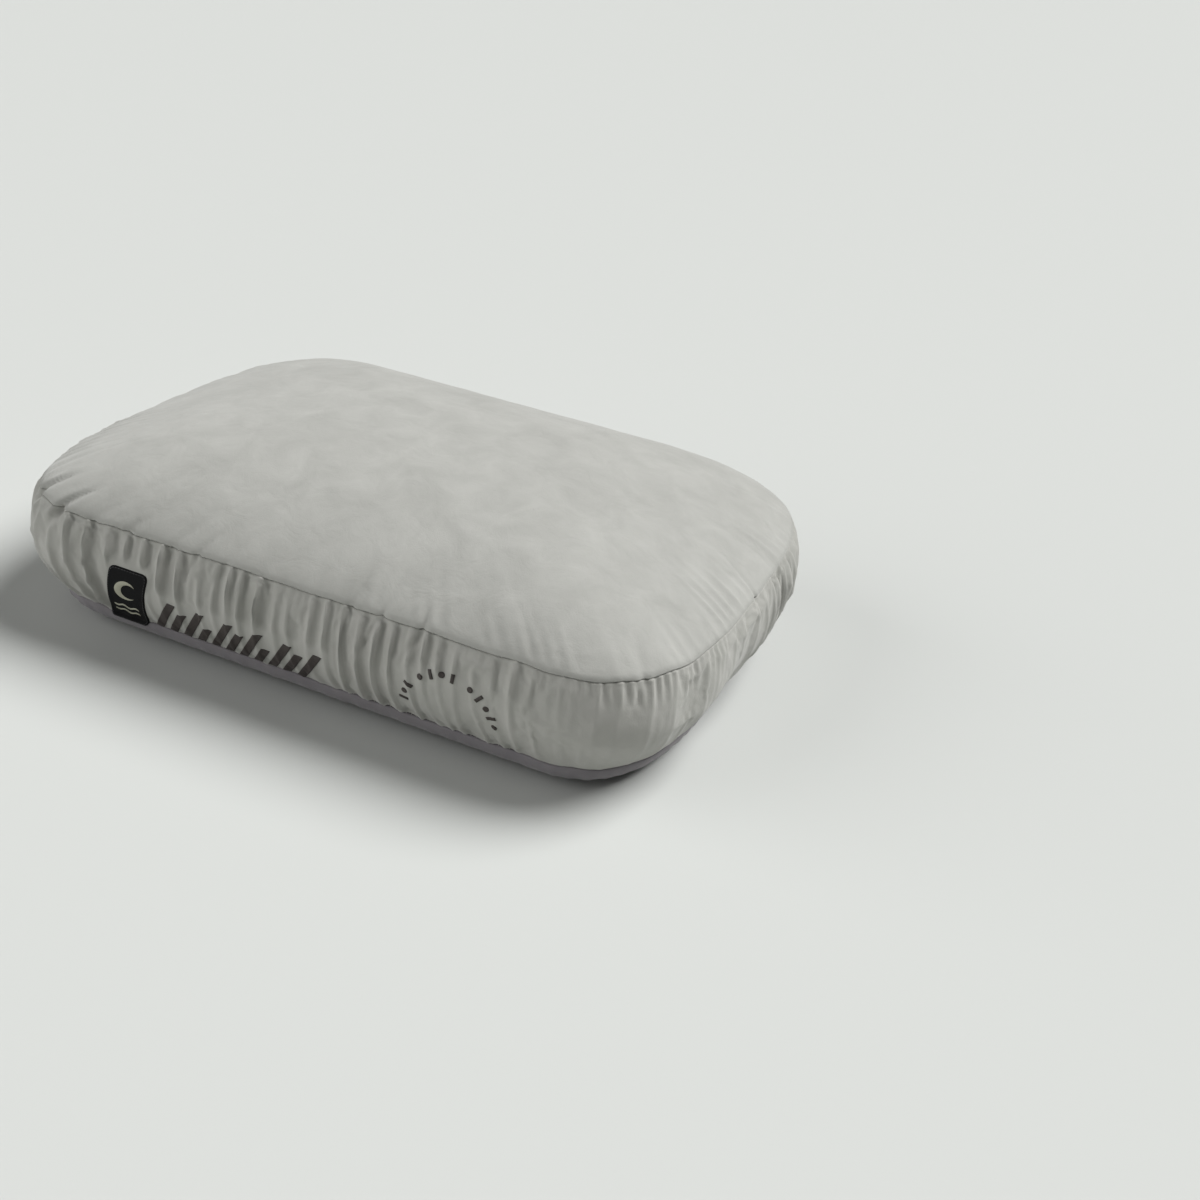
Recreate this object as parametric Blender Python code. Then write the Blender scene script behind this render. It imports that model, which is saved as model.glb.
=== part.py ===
"""Camp pillow: a foam core in a thin liner, inside a boxed cover that unzips at the back.

The cover is cut like a box cushion.  A domed top panel and a flat bottom panel are sewn to an
upright wall, and the wall is one long gusset round the front and both ends, closed at the back
by two strips with a coil zip between them.

Metres, +Z up.  X runs along the pillow, the marked front faces -Y and the zip faces +Y.  The
pillow stands on z = 0 and the origin is under the middle of the whole object.
"""
import math

import bpy
from mathutils import Vector

# ---- plan of the cover, measured on the top seam ------------------------------------------
SEAM_LENGTH = 0.436          # along X
SEAM_WIDTH = 0.300           # along Y
CORNER_RUN = 0.080           # how far before each end the long sides start to turn
END_STRAIGHT = 0.020         # short straight length left in the middle of each end
CORNER_SQUARENESS = 2.9      # 2 is an ellipse, more is squarer

# ---- heights --------------------------------------------------------------------------------
TOP_SEAM_Z = 0.079
BOTTOM_SEAM_Z = 0.0175
CROWN_RISE = 0.0458          # dome of the top panel above its seam
CROWN_FLATNESS = 2.6
CROWN_SHOULDER = 0.80        # below 1 the dome leaves the seam steeply

# ---- side wall and underside ------------------------------------------------------------------
WALL_BULGE = 0.0105          # the filling pushes the wall out at mid height
BOTTOM_SEAM_INSET = 0.009    # the bottom seam lies further in than the top one
UNDERSIDE_MARGIN = 0.027     # width that curls up from the flat underside to the bottom seam

# ---- cloth, thread and clearances -------------------------------------------------------------
COVER_THICKNESS = 0.0010
LINER_THICKNESS = 0.0006
THREAD_RADIUS = 0.0004
GAP = 0.0003                 # between pieces that touch
SEAM_GAP = 0.0009            # between panels at their outer faces; inside, the edges lean closer
THREAD_GAP = 0.0006          # seam thread to the cloth in front of it
LINER_TOP_GAP = 0.0020       # cover to liner, over the dome
LINER_BOTTOM_GAP = 0.0008
SEAM_CLEARANCE = 0.0008      # strip ends, tape ends and the seam across them

# ---- zip ------------------------------------------------------------------------------------------
ZIP_CORNER_CLEARANCE = 0.004  # back seams stay this far inside the straight back
WINDOW_HALF = 0.0070          # half the opening between the two strips
TAPE_THICKNESS = 0.0006
TAPE_HALF_WIDTH = 0.0120      # from the middle of the chain to the sewn edge
COIL_HEIGHT = 0.0022          # one coil, across the chain
COIL_DEPTH = 0.0020           # one coil, front to back
CHAIN_SLIT = 0.0012           # between the two coils, where the slider's post passes
STOP_LENGTH = 0.0030
STOP_FROM_TAPE_END = 0.0020
SLIDER_LENGTH = 0.0110
SLIDER_PLATE = 0.0010
SLIDER_LIP = 0.00085
SLIDER_PLAY = 0.0003          # slider to coil and slider lip to tape
SLIDER_SIDE_PLAY = 0.0006
SLIDER_END_PLAY = 0.0005
POST_THICKNESS = 0.0006
POST_LENGTH = 0.0040
BAIL_LENGTH = 0.0080
BAIL_WIDTH = 0.0016
BAIL_BAR = 0.0012
BAIL_OPENING = 0.0031
PULL_THICKNESS = 0.0010
PULL_ARM = 0.0013
PULL_SIDE_PLAY = 0.0005
PULL_WINDOW = 0.0047
PULL_LENGTH = 0.0210
PULL_EYE = 0.0011             # radius of the hole near the pull's tip
PULL_LIFT = 0.0005            # the pull lies this far off the cover

# ---- labels -----------------------------------------------------------------------------------------
PATCH_WIDTH = 0.0275
PATCH_TOP = 0.32              # share of the wall height below the top seam
PATCH_HEIGHT = 0.0500         # measured down the cloth; its foot wraps under the bottom seam
PATCH_LEAN = 0.0145           # the patch leans this far to the left at its foot
PATCH_CORNER = 0.0045
PATCH_THICKNESS = 0.0006
PATCH_FROM_CORNER = 0.0290    # its top, from where the front's straight run starts
CARE_WIDTH = 0.024
CARE_HEIGHT = 0.015
CARE_TOP = 0.70               # share of the wall height below the top seam
CARE_THICKNESS = 0.0004

# ---- how finely the curved pieces are divided ---------------------------------------------------------
LONG_STEPS = 6
CORNER_STEPS = 8
END_STEPS = 2
DOME_RINGS = (0.35, 0.60, 0.78, 0.90, 0.965, 1.0)
WALL_STEPS = 6
STRIP_STEPS = 5
MARGIN_STEPS = 3
UNDERSIDE_RING = 0.5

# ---- derived sizes ---------------------------------------------------------------------------------
HALF_LENGTH = SEAM_LENGTH / 2
HALF_WIDTH = SEAM_WIDTH / 2
RUN_X = HALF_LENGTH - CORNER_RUN
RUN_Y = END_STRAIGHT / 2
CORNER_DEPTH = HALF_WIDTH - RUN_Y
WALL_HEIGHT = TOP_SEAM_Z - BOTTOM_SEAM_Z
TOTAL_HEIGHT = TOP_SEAM_Z + CROWN_RISE

UPRIGHT = (1 - BOTTOM_SEAM_INSET / (4 * WALL_BULGE)) / 2   # where the wall stands vertical
ZIP_Z = TOP_SEAM_Z - UPRIGHT * WALL_HEIGHT
BACK_SEAM_X = RUN_X - ZIP_CORNER_CLEARANCE
TAPE_END_X = BACK_SEAM_X - THREAD_RADIUS - SEAM_CLEARANCE
STOP_X = TAPE_END_X - STOP_FROM_TAPE_END - STOP_LENGTH / 2
COIL_END_X = STOP_X - STOP_LENGTH / 2 - GAP
SLIDER_X = STOP_X - STOP_LENGTH / 2 - SLIDER_END_PLAY - SLIDER_LENGTH / 2
SLIDER_TRAVEL = 2 * SLIDER_X

FULL_LOOP = 8     # the plan is four straight runs and four corners, in turn


def wall_grow(drop):
    """How far the wall stands outside the top seam; drop runs 0 to 1 down the wall."""
    return 4 * WALL_BULGE * drop * (1 - drop) - BOTTOM_SEAM_INSET * drop


BACK_Y = HALF_WIDTH + wall_grow(UPRIGHT)
TAPE_EDGE_DROP = UPRIGHT + TAPE_HALF_WIDTH / WALL_HEIGHT
TAPE_DEPTH = BACK_Y - HALF_WIDTH - wall_grow(TAPE_EDGE_DROP) + COVER_THICKNESS + 2 * GAP
TAPE_Y = BACK_Y - TAPE_DEPTH - TAPE_THICKNESS / 2
CHANNEL_HALF_DEPTH = COIL_DEPTH / 2 + SLIDER_PLAY
SLIDER_HALF_DEPTH = CHANNEL_HALF_DEPTH + SLIDER_PLATE
COIL_OUTER = CHAIN_SLIT / 2 + COIL_HEIGHT
CHANNEL_HALF_HEIGHT = COIL_OUTER + SLIDER_SIDE_PLAY
SLIDER_HALF_HEIGHT = CHANNEL_HALF_HEIGHT + SLIDER_LIP
SLOT_HALF = TAPE_THICKNESS / 2 + SLIDER_PLAY
PULL_Y = BACK_Y + PULL_LIFT + PULL_THICKNESS / 2
BAIL_INNER_Y = max(PULL_Y + 0.0012, TAPE_Y + SLIDER_HALF_DEPTH + BAIL_OPENING)
BAIL_OUTER_Y = BAIL_INNER_Y + BAIL_BAR

LINER_SIDE_GAP = BACK_Y - (TAPE_Y - SLIDER_HALF_DEPTH) + 2 * GAP
CORE_SIDE_GAP = LINER_SIDE_GAP + LINER_THICKNESS + GAP
LINER_LIFT = COVER_THICKNESS + LINER_BOTTOM_GAP
CORE_LIFT = LINER_LIFT + LINER_THICKNESS + GAP
LINER_DROP = COVER_THICKNESS + LINER_TOP_GAP
CORE_DROP = LINER_DROP + LINER_THICKNESS + 2 * GAP


# ---- the pillow's surface ------------------------------------------------------------------------

def plan(place, grow=0.0):
    """Point of the plan outline.  place runs 0 to 8, counter-clockwise from the front's left end.

    Even stretches are straight, odd ones are corners; grow moves the outline outwards.
    """
    place %= FULL_LOOP
    stretch = int(place)
    along = place - stretch
    x, y = HALF_LENGTH + grow, HALF_WIDTH + grow
    if stretch % 2 == 0:
        ends = {0: ((-RUN_X, -y), (RUN_X, -y)), 2: ((x, -RUN_Y), (x, RUN_Y)),
                4: ((RUN_X, y), (-RUN_X, y)), 6: ((-x, RUN_Y), (-x, -RUN_Y))}[stretch]
        start, stop = Vector(ends[0]), Vector(ends[1])
        return start.lerp(stop, along)
    angle = math.radians(90) * ((stretch - 3) / 2 + along)
    cosine, sine = math.cos(angle), math.sin(angle)
    power = CORNER_SQUARENESS
    size = (abs(cosine) ** power + abs(sine) ** power) ** (1 / power)
    centre_x = RUN_X if stretch in (1, 3) else -RUN_X
    centre_y = RUN_Y if stretch in (3, 5) else -RUN_Y
    return Vector((centre_x + (CORNER_RUN + grow) * cosine / size,
                   centre_y + (CORNER_DEPTH + grow) * sine / size))


def back_place(x):
    """Place on the plan outline of a point x along the straight back."""
    return 4 + (RUN_X - x) / (2 * RUN_X)


def wall(place, drop, side_gap=0.0):
    """Point of the wall: drop 0 at the top seam, 1 at the bottom seam, 2 at the flat underside."""
    if drop <= 1:
        x, y = plan(place, wall_grow(drop) - side_gap)
        return Vector((x, y, TOP_SEAM_Z - WALL_HEIGHT * drop))
    turn = math.radians(90) * (drop - 1)
    x, y = plan(place, -BOTTOM_SEAM_INSET - UNDERSIDE_MARGIN * (1 - math.cos(turn)) - side_gap)
    return Vector((x, y, BOTTOM_SEAM_Z * (1 - math.sin(turn))))


def dome(place, ring, side_gap=0.0):
    """Point of the top panel: ring 0 in the middle, 1 at its seam."""
    x, y = plan(place, -side_gap) * ring
    rise = (1 - ring ** CROWN_FLATNESS) ** CROWN_SHOULDER
    return Vector((x, y, TOP_SEAM_Z + CROWN_RISE * rise))


def face_normal(place, start, stop):
    """Direction square to the wall between two drops, pointing out."""
    step = 0.004
    along = wall(place + step, start) - wall(place - step, start)
    return (wall(place, stop) - wall(place, start)).cross(along).normalized()


def lifted(place, drop, height):
    """Point that stands off the wall by height, also in the crease of the bottom seam."""
    step = 0.004
    below = face_normal(place, drop, drop + step)
    above = face_normal(place, drop - step, drop) if drop > step else below
    middle = (above + below).normalized()
    return wall(place, drop) + middle * (height / middle.dot(above))


def drop_after(start, distance):
    """Drop that lies a distance further down the straight front than start."""
    step, drop, covered = 0.001, start, 0.0
    while covered < distance:
        covered += (wall(0.5, drop + step) - wall(0.5, drop)).length
        drop += step
    return drop


def spread(start, stop, steps):
    """Evenly spaced values from start to stop, both included."""
    return [start + (stop - start) * i / steps for i in range(steps + 1)]


def places(start, stop):
    """Places between start and stop, with every bend of the outline divided finely enough."""
    found = [start]
    for stretch in range(int(math.floor(start)), int(math.ceil(stop))):
        kind = stretch % 4
        steps = LONG_STEPS if kind == 0 else END_STEPS if kind == 2 else CORNER_STEPS
        found += [p for p in spread(stretch, stretch + 1, steps) if start < p < stop]
    tidy = [found[0]]
    for p in found[1:]:
        if p - tidy[-1] > 0.02:
            tidy.append(p)
    if stop - tidy[-1] < 0.02:
        tidy.pop()
    return tidy + [stop]


LOOP = places(0, FULL_LOOP)[:-1]


# ---- making objects --------------------------------------------------------------------------------

def clear_scene():
    for old in list(bpy.data.objects):
        bpy.data.objects.remove(old, do_unlink=True)


def material(name, colour, roughness, metallic=0.0):
    made = bpy.data.materials.new(name)
    made.use_nodes = True
    shader = made.node_tree.nodes["Principled BSDF"]
    shader.inputs["Base Color"].default_value = (*colour, 1.0)
    shader.inputs["Roughness"].default_value = roughness
    shader.inputs["Metallic"].default_value = metallic
    return made


def add_object(name, points, faces, finish, smooth=True):
    mesh = bpy.data.meshes.new(name)
    mesh.from_pydata([tuple(p) for p in points], [], faces)
    mesh.materials.append(finish)
    if smooth:
        mesh.shade_smooth()
        mesh.set_sharp_from_angle(angle=math.radians(40))
    made = bpy.data.objects.new(name, mesh)
    bpy.context.collection.objects.link(made)
    return made


def sheet(rows, loop, top=None, bottom=None):
    """Points and faces of a sheet through rows of points that run from the top downwards."""
    width = len(rows[0])
    points = [p for row in rows for p in row]
    faces = []
    spans = width if loop else width - 1
    for upper in range(len(rows) - 1):
        for i in range(spans):
            j = (i + 1) % width
            a, b = upper * width + i, upper * width + j
            faces.append((a, a + width, b + width, b))
    if top is not None:
        points.append(top)
        faces += [(len(points) - 1, i, (i + 1) % width) for i in range(width)]
    if bottom is not None:
        points.append(bottom)
        last = (len(rows) - 1) * width
        faces += [(last + (i + 1) % width, last + i, len(points) - 1) for i in range(width)]
    return points, faces


def cloth(name, rows, thickness, finish, loop=True, top=None, bottom=None):
    """A panel of cloth whose outer face is the given sheet."""
    made = add_object(name, *sheet(rows, loop, top, bottom), finish)
    thick = made.modifiers.new("thickness", "SOLIDIFY")
    thick.thickness = thickness
    thick.offset = -1.0
    return made


def thread(name, points, loop, finish):
    """A line of sewing thread along points."""
    curve = bpy.data.curves.new(name, "CURVE")
    curve.dimensions = "3D"
    curve.bevel_depth = THREAD_RADIUS
    curve.bevel_resolution = 0
    curve.use_fill_caps = True
    line = curve.splines.new("POLY")
    line.points.add(len(points) - 1)
    for knot, point in zip(line.points, points):
        knot.co = (*point, 1.0)
    line.use_cyclic_u = loop
    curve.materials.append(finish)
    made = bpy.data.objects.new(name, curve)
    bpy.context.collection.objects.link(made)
    return made


def prism(name, outline, low, high, axis, finish):
    """Solid with a flat outline, drawn counter-clockwise, swept from low to high along axis.

    The outline is in (x, y) for an axis of z, in (y, z) for x, and in (z, x) for y.
    """
    def put(u, v, w):
        return {"x": (w, u, v), "y": (v, w, u), "z": (u, v, w)}[axis]

    count = len(outline)
    points = [put(u, v, low) for u, v in outline] + [put(u, v, high) for u, v in outline]
    faces = [tuple(reversed(range(count))), tuple(range(count, 2 * count))]
    faces += [(i, (i + 1) % count, count + (i + 1) % count, count + i) for i in range(count)]
    return add_object(name, points, faces, finish, smooth=False)


def rounded(u0, u1, v0, v1, radius, steps=3):
    """Corners of a rectangle with rounded corners, counter-clockwise."""
    outline = []
    for cu, cv, start in ((u1, v1, 0), (u0, v1, 90), (u0, v0, 180), (u1, v0, 270)):
        su = cu - radius if cu == u1 else cu + radius
        sv = cv - radius if cv == v1 else cv + radius
        for angle in spread(start, start + 90, steps):
            a = math.radians(angle)
            outline.append((su + radius * math.cos(a), sv + radius * math.sin(a)))
    return outline


def boolean(target, other, operation):
    """Add or cut away another solid; the other one becomes a hidden guide."""
    step = target.modifiers.new(operation.lower(), "BOOLEAN")
    step.operation = operation
    step.solver = "EXACT"
    step.object = other
    other.hide_render = True
    other.display_type = "WIRE"


# ---- filling ---------------------------------------------------------------------------------------------

def inner_rows(side_gap, lift, drop, rings, wall_drops):
    """Rows of a smaller copy of the cover's surface, pulled in by the given clearances."""
    squash = (TOTAL_HEIGHT - lift - drop) / TOTAL_HEIGHT

    def placed(point):
        return Vector((point.x, point.y, lift + point.z * squash))

    rows = [[placed(dome(p, ring, side_gap)) for p in LOOP] for ring in rings]
    return rows + [[placed(wall(p, d, side_gap)) for p in LOOP] for d in wall_drops]


def underside_rows(side_gap, lift):
    """Rows of the flat underside, from its rim inwards."""
    rim = [wall(p, 2, side_gap) for p in LOOP]
    return [[Vector((p.x * UNDERSIDE_RING, p.y * UNDERSIDE_RING, lift)) for p in rim]]


def make_filling(foam, lining):
    drops = spread(0, 1, 4)[1:] + spread(1, 2, MARGIN_STEPS)[1:]
    rows = inner_rows(CORE_SIDE_GAP, CORE_LIFT, CORE_DROP, DOME_RINGS, drops)
    rows += underside_rows(CORE_SIDE_GAP, CORE_LIFT)
    top = Vector((0, 0, TOTAL_HEIGHT - CORE_DROP))
    points, faces = sheet(rows, True, top, Vector((0, 0, CORE_LIFT)))
    add_object("foam_core", points, faces, foam)

    middle = 0.5
    half_gap = SEAM_GAP / 2 / WALL_HEIGHT
    upper = inner_rows(LINER_SIDE_GAP, LINER_LIFT, LINER_DROP, DOME_RINGS,
                       [0.25, middle - half_gap])
    cloth("liner_upper", upper, LINER_THICKNESS, lining,
          top=Vector((0, 0, TOTAL_HEIGHT - LINER_DROP)))
    lower = inner_rows(LINER_SIDE_GAP, LINER_LIFT, LINER_DROP, [],
                       [middle + half_gap, 0.75] + spread(1, 2, MARGIN_STEPS))
    lower += underside_rows(LINER_SIDE_GAP, LINER_LIFT)
    cloth("liner_lower", lower, LINER_THICKNESS, lining, bottom=Vector((0, 0, LINER_LIFT)))


# ---- cover ----------------------------------------------------------------------------------------------------

def make_cover(top_cloth, bottom_cloth):
    half_gap = SEAM_GAP / 2
    seam_drop = half_gap / WALL_HEIGHT
    rows = [[dome(p, ring) for p in LOOP] for ring in DOME_RINGS]
    rows[-1] = [p + Vector((0, 0, half_gap)) for p in rows[-1]]
    cloth("top_panel", rows, COVER_THICKNESS, top_cloth, top=Vector((0, 0, TOTAL_HEIGHT)))

    rows = [[wall(p, d) for p in LOOP] for d in spread(1, 2, MARGIN_STEPS)]
    rows[0] = [p - Vector((0, 0, half_gap)) for p in rows[0]]
    rows += underside_rows(0.0, 0.0)
    cloth("bottom_panel", rows, COVER_THICKNESS, bottom_cloth, bottom=Vector((0, 0, 0)))

    columns = places(back_place(-BACK_SEAM_X - half_gap),
                     back_place(BACK_SEAM_X + half_gap) + FULL_LOOP)
    rows = [[wall(p, d) for p in columns] for d in spread(seam_drop, 1 - seam_drop, WALL_STEPS)]
    cloth("front_gusset", rows, COVER_THICKNESS, top_cloth, loop=False)

    columns = [back_place(BACK_SEAM_X - half_gap), back_place(-BACK_SEAM_X + half_gap)]
    window = WINDOW_HALF / WALL_HEIGHT
    for name, start, stop in (("zip_strip_upper", seam_drop, UPRIGHT - window),
                              ("zip_strip_lower", UPRIGHT + window, 1 - seam_drop)):
        rows = [[wall(p, d) for p in columns] for d in spread(start, stop, STRIP_STEPS)]
        cloth(name, rows, COVER_THICKNESS, top_cloth, loop=False)


def make_threads(finish):
    depth = COVER_THICKNESS + THREAD_GAP + THREAD_RADIUS
    for name, drop in (("top_seam_thread", 0.0), ("bottom_seam_thread", 1.0)):
        thread(name, [lifted(p, drop, -depth) for p in LOOP], True, finish)
    ends = 3 * depth / WALL_HEIGHT
    for name, x in (("back_seam_thread_left", BACK_SEAM_X),
                    ("back_seam_thread_right", -BACK_SEAM_X)):
        line = [lifted(back_place(x), d, -depth) for d in spread(ends, 1 - ends, STRIP_STEPS)]
        thread(name, line, False, finish)


def front_place(x):
    """Place on the plan outline of a point x along the straight front."""
    return (x + RUN_X) / (2 * RUN_X)


def make_patch(finish):
    """The front label: a rounded, leaning patch that wraps under the bottom seam."""
    to_seam = 0.0
    while drop_after(PATCH_TOP, to_seam) < 1:
        to_seam += 0.0002
    corner = [PATCH_CORNER * f for f in (0.0, 0.12, 0.45, 1.0)]
    downs = corner + [to_seam * f for f in (0.22, 0.35, 0.48, 0.61, 0.74, 0.87)]
    downs += [PATCH_HEIGHT - d for d in reversed(corner)]
    rows = []
    for down in sorted(downs + [to_seam]):
        edge = min(down, PATCH_HEIGHT - down)
        inset = 0.0
        if edge < PATCH_CORNER:
            inset = PATCH_CORNER - math.sqrt(PATCH_CORNER ** 2 - (PATCH_CORNER - edge) ** 2)
        half = PATCH_WIDTH / 2 - inset
        drop = 1.0 if down == to_seam else drop_after(PATCH_TOP, down)
        middle = -RUN_X + PATCH_FROM_CORNER - PATCH_LEAN * down / PATCH_HEIGHT
        rows.append([lifted(front_place(x), drop, GAP + PATCH_THICKNESS)
                     for x in (middle - half, middle + half)])
    cloth("label_patch", rows, PATCH_THICKNESS, finish, loop=False)


def make_care_label(finish):
    """A blank label caught in the back seam, flat against the lower strip."""
    near = -BACK_SEAM_X + SEAM_CLEARANCE
    columns = [back_place(near + CARE_WIDTH), back_place(near)]
    rows = [[lifted(p, d, GAP + CARE_THICKNESS) for p in columns]
            for d in spread(CARE_TOP, CARE_TOP + CARE_HEIGHT / WALL_HEIGHT, 4)]
    cloth("care_label", rows, CARE_THICKNESS, finish, loop=False)


# ---- zip -------------------------------------------------------------------------------------------------------

def make_chain(tape, coil, stop):
    """The two tapes, their coils and the stops at both ends of the chain."""
    half = TAPE_THICKNESS / 2
    for name, side in (("upper", 1), ("lower", -1)):
        low, high = sorted((ZIP_Z + side * (COIL_OUTER + GAP), ZIP_Z + side * TAPE_HALF_WIDTH))
        prism(f"zip_tape_{name}", [(TAPE_Y - half, low), (TAPE_Y + half, low),
                                   (TAPE_Y + half, high), (TAPE_Y - half, high)],
              -TAPE_END_X, TAPE_END_X, "x", tape)
        low, high = sorted((ZIP_Z + side * CHAIN_SLIT / 2, ZIP_Z + side * COIL_OUTER))
        section = rounded(TAPE_Y - COIL_DEPTH / 2, TAPE_Y + COIL_DEPTH / 2, low, high,
                          COIL_DEPTH * 0.35, 1)
        prism(f"zip_coil_{name}", section, -COIL_END_X, COIL_END_X, "x", coil)
        prism(f"top_stop_{name}", section, STOP_X - STOP_LENGTH / 2, STOP_X + STOP_LENGTH / 2,
              "x", stop)
    section = rounded(TAPE_Y - COIL_DEPTH / 2, TAPE_Y + COIL_DEPTH / 2,
                      ZIP_Z - COIL_OUTER, ZIP_Z + COIL_OUTER, COIL_DEPTH * 0.35, 1)
    prism("bottom_stop", section, -STOP_X - STOP_LENGTH / 2, -STOP_X + STOP_LENGTH / 2,
          "x", stop)


def make_slider(finish):
    """Two lipped plates joined by a post, with the bail that holds the pull."""
    start, stop = SLIDER_X - SLIDER_LENGTH / 2, SLIDER_X + SLIDER_LENGTH / 2
    plates = []
    for name, side in (("zip_slider", 1), ("inner_plate", -1)):
        profile = [(SLOT_HALF, -SLIDER_HALF_HEIGHT), (SLIDER_HALF_DEPTH, -SLIDER_HALF_HEIGHT),
                   (SLIDER_HALF_DEPTH, SLIDER_HALF_HEIGHT), (SLOT_HALF, SLIDER_HALF_HEIGHT),
                   (SLOT_HALF, CHANNEL_HALF_HEIGHT), (CHANNEL_HALF_DEPTH, CHANNEL_HALF_HEIGHT),
                   (CHANNEL_HALF_DEPTH, -CHANNEL_HALF_HEIGHT), (SLOT_HALF, -CHANNEL_HALF_HEIGHT)]
        profile = [(TAPE_Y + side * y, ZIP_Z + z) for y, z in profile]
        if side < 0:
            profile.reverse()
        plates.append(prism(name, profile, start, stop, "x", finish))
    slider, inner = plates
    boolean(slider, inner, "UNION")
    overlap = SLIDER_PLATE / 2
    depth = CHANNEL_HALF_DEPTH + overlap
    post = prism("slider_post", rounded(stop - POST_LENGTH - 0.0005, stop - 0.0005,
                                        TAPE_Y - depth, TAPE_Y + depth, 0.0002, 1),
                 ZIP_Z - POST_THICKNESS / 2, ZIP_Z + POST_THICKNESS / 2, "z", finish)
    boolean(slider, post, "UNION")
    foot = TAPE_Y + SLIDER_HALF_DEPTH - overlap
    half, bar, round_off = BAIL_LENGTH / 2, BAIL_BAR, BAIL_BAR * 0.8
    arch = [(-half, foot), (-half + bar, foot), (-half + bar, BAIL_INNER_Y - round_off / 2),
            (-half + bar + round_off / 2, BAIL_INNER_Y), (half - bar - round_off / 2, BAIL_INNER_Y),
            (half - bar, BAIL_INNER_Y - round_off / 2), (half - bar, foot), (half, foot),
            (half, BAIL_OUTER_Y - round_off), (half - round_off, BAIL_OUTER_Y),
            (-half + round_off, BAIL_OUTER_Y), (-half, BAIL_OUTER_Y - round_off)]
    bail = prism("slider_bail", [(SLIDER_X + x, y) for x, y in arch],
                 ZIP_Z - BAIL_WIDTH / 2, ZIP_Z + BAIL_WIDTH / 2, "z", finish)
    boolean(slider, bail, "UNION")
    return slider


def make_pull(finish):
    """A flat pull whose end bar turns under the bail; its origin is on the hinge's axis."""
    half = PULL_THICKNESS / 2
    window_half = BAIL_WIDTH / 2 + PULL_SIDE_PLAY
    outer_half = window_half + PULL_ARM
    pull = prism("zip_pull", rounded(-outer_half, outer_half, half - PULL_LENGTH, half, 0.0006, 2),
                 -half, half, "y", finish)
    window = prism("pull_window", [(-window_half, -half - PULL_WINDOW), (window_half,
                   -half - PULL_WINDOW), (window_half, -half), (-window_half, -half)],
                   -2 * half, 2 * half, "y", finish)
    eye_x = half - PULL_LENGTH + 2.2 * PULL_EYE
    circle = [(PULL_EYE * math.cos(math.radians(a)), eye_x + PULL_EYE * math.sin(math.radians(a)))
              for a in range(0, 360, 30)]
    eye = prism("pull_eye", circle, -2 * half, 2 * half, "y", finish)
    boolean(pull, window, "DIFFERENCE")
    boolean(pull, eye, "DIFFERENCE")
    for piece in (pull, window, eye):
        piece.location = (SLIDER_X, PULL_Y, ZIP_Z)
    return pull


def settle_over_origin():
    """Move the whole pillow along Y until its overall box is centred on the origin."""
    bpy.context.view_layer.update()
    graph = bpy.context.evaluated_depsgraph_get()
    low, high = math.inf, -math.inf
    for piece in bpy.context.scene.objects:
        if piece.hide_render:
            continue
        shape = piece.evaluated_get(graph)
        mesh = shape.to_mesh()
        for vertex in mesh.vertices:
            y = (piece.matrix_world @ vertex.co).y
            low, high = min(low, y), max(high, y)
        shape.to_mesh_clear()
    shift = -(low + high) / 2
    for piece in bpy.context.scene.objects:
        piece.location.y += shift
    return shift


def main():
    clear_scene()
    cover = material("brushed_cover", (0.42, 0.43, 0.41), 0.9)
    base = material("plain_underside", (0.22, 0.21, 0.22), 0.9)
    lining = material("liner_cloth", (0.70, 0.70, 0.68), 0.9)
    foam = material("memory_foam", (0.80, 0.76, 0.62), 0.95)
    sewing = material("sewing_thread", (0.20, 0.20, 0.19), 0.8)
    patch = material("woven_patch", (0.01, 0.01, 0.012), 0.8)
    care = material("satin_label", (0.75, 0.75, 0.73), 0.5)
    tape = material("zip_tape", (0.20, 0.21, 0.20), 0.85)
    coil = material("nylon_coil", (0.18, 0.19, 0.18), 0.45)
    metal = material("painted_zinc", (0.16, 0.17, 0.17), 0.4, 0.8)
    make_filling(foam, lining)
    make_cover(cover, base)
    make_threads(sewing)
    make_patch(patch)
    make_care_label(care)
    make_chain(tape, coil, metal)
    make_slider(metal)
    make_pull(metal)
    shift = settle_over_origin()
    print(f"zip slide travel {SLIDER_TRAVEL:.5f}")
    print(f"pull hinge at ({SLIDER_X:.5f}, {PULL_Y + shift:.5f}, {ZIP_Z:.5f}), shift {shift:.6f}")


main()
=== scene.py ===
# %% [markdown]
# # A foam camp pillow
#
# This lesson dresses a working model of a boxed camp pillow. The model gives every piece its place and
# its real size. Here the cloth is cut, gathered and sewn, the zip gets its coils, and each surface gets
# the finish of the real material. The frame comes first, because everything else is measured from it.

# %% Load the frame
from math import cos, pi, radians, sin

import bpy
import numpy as np
from mathutils import Matrix, Vector
from mathutils.bvhtree import BVHTree


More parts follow.
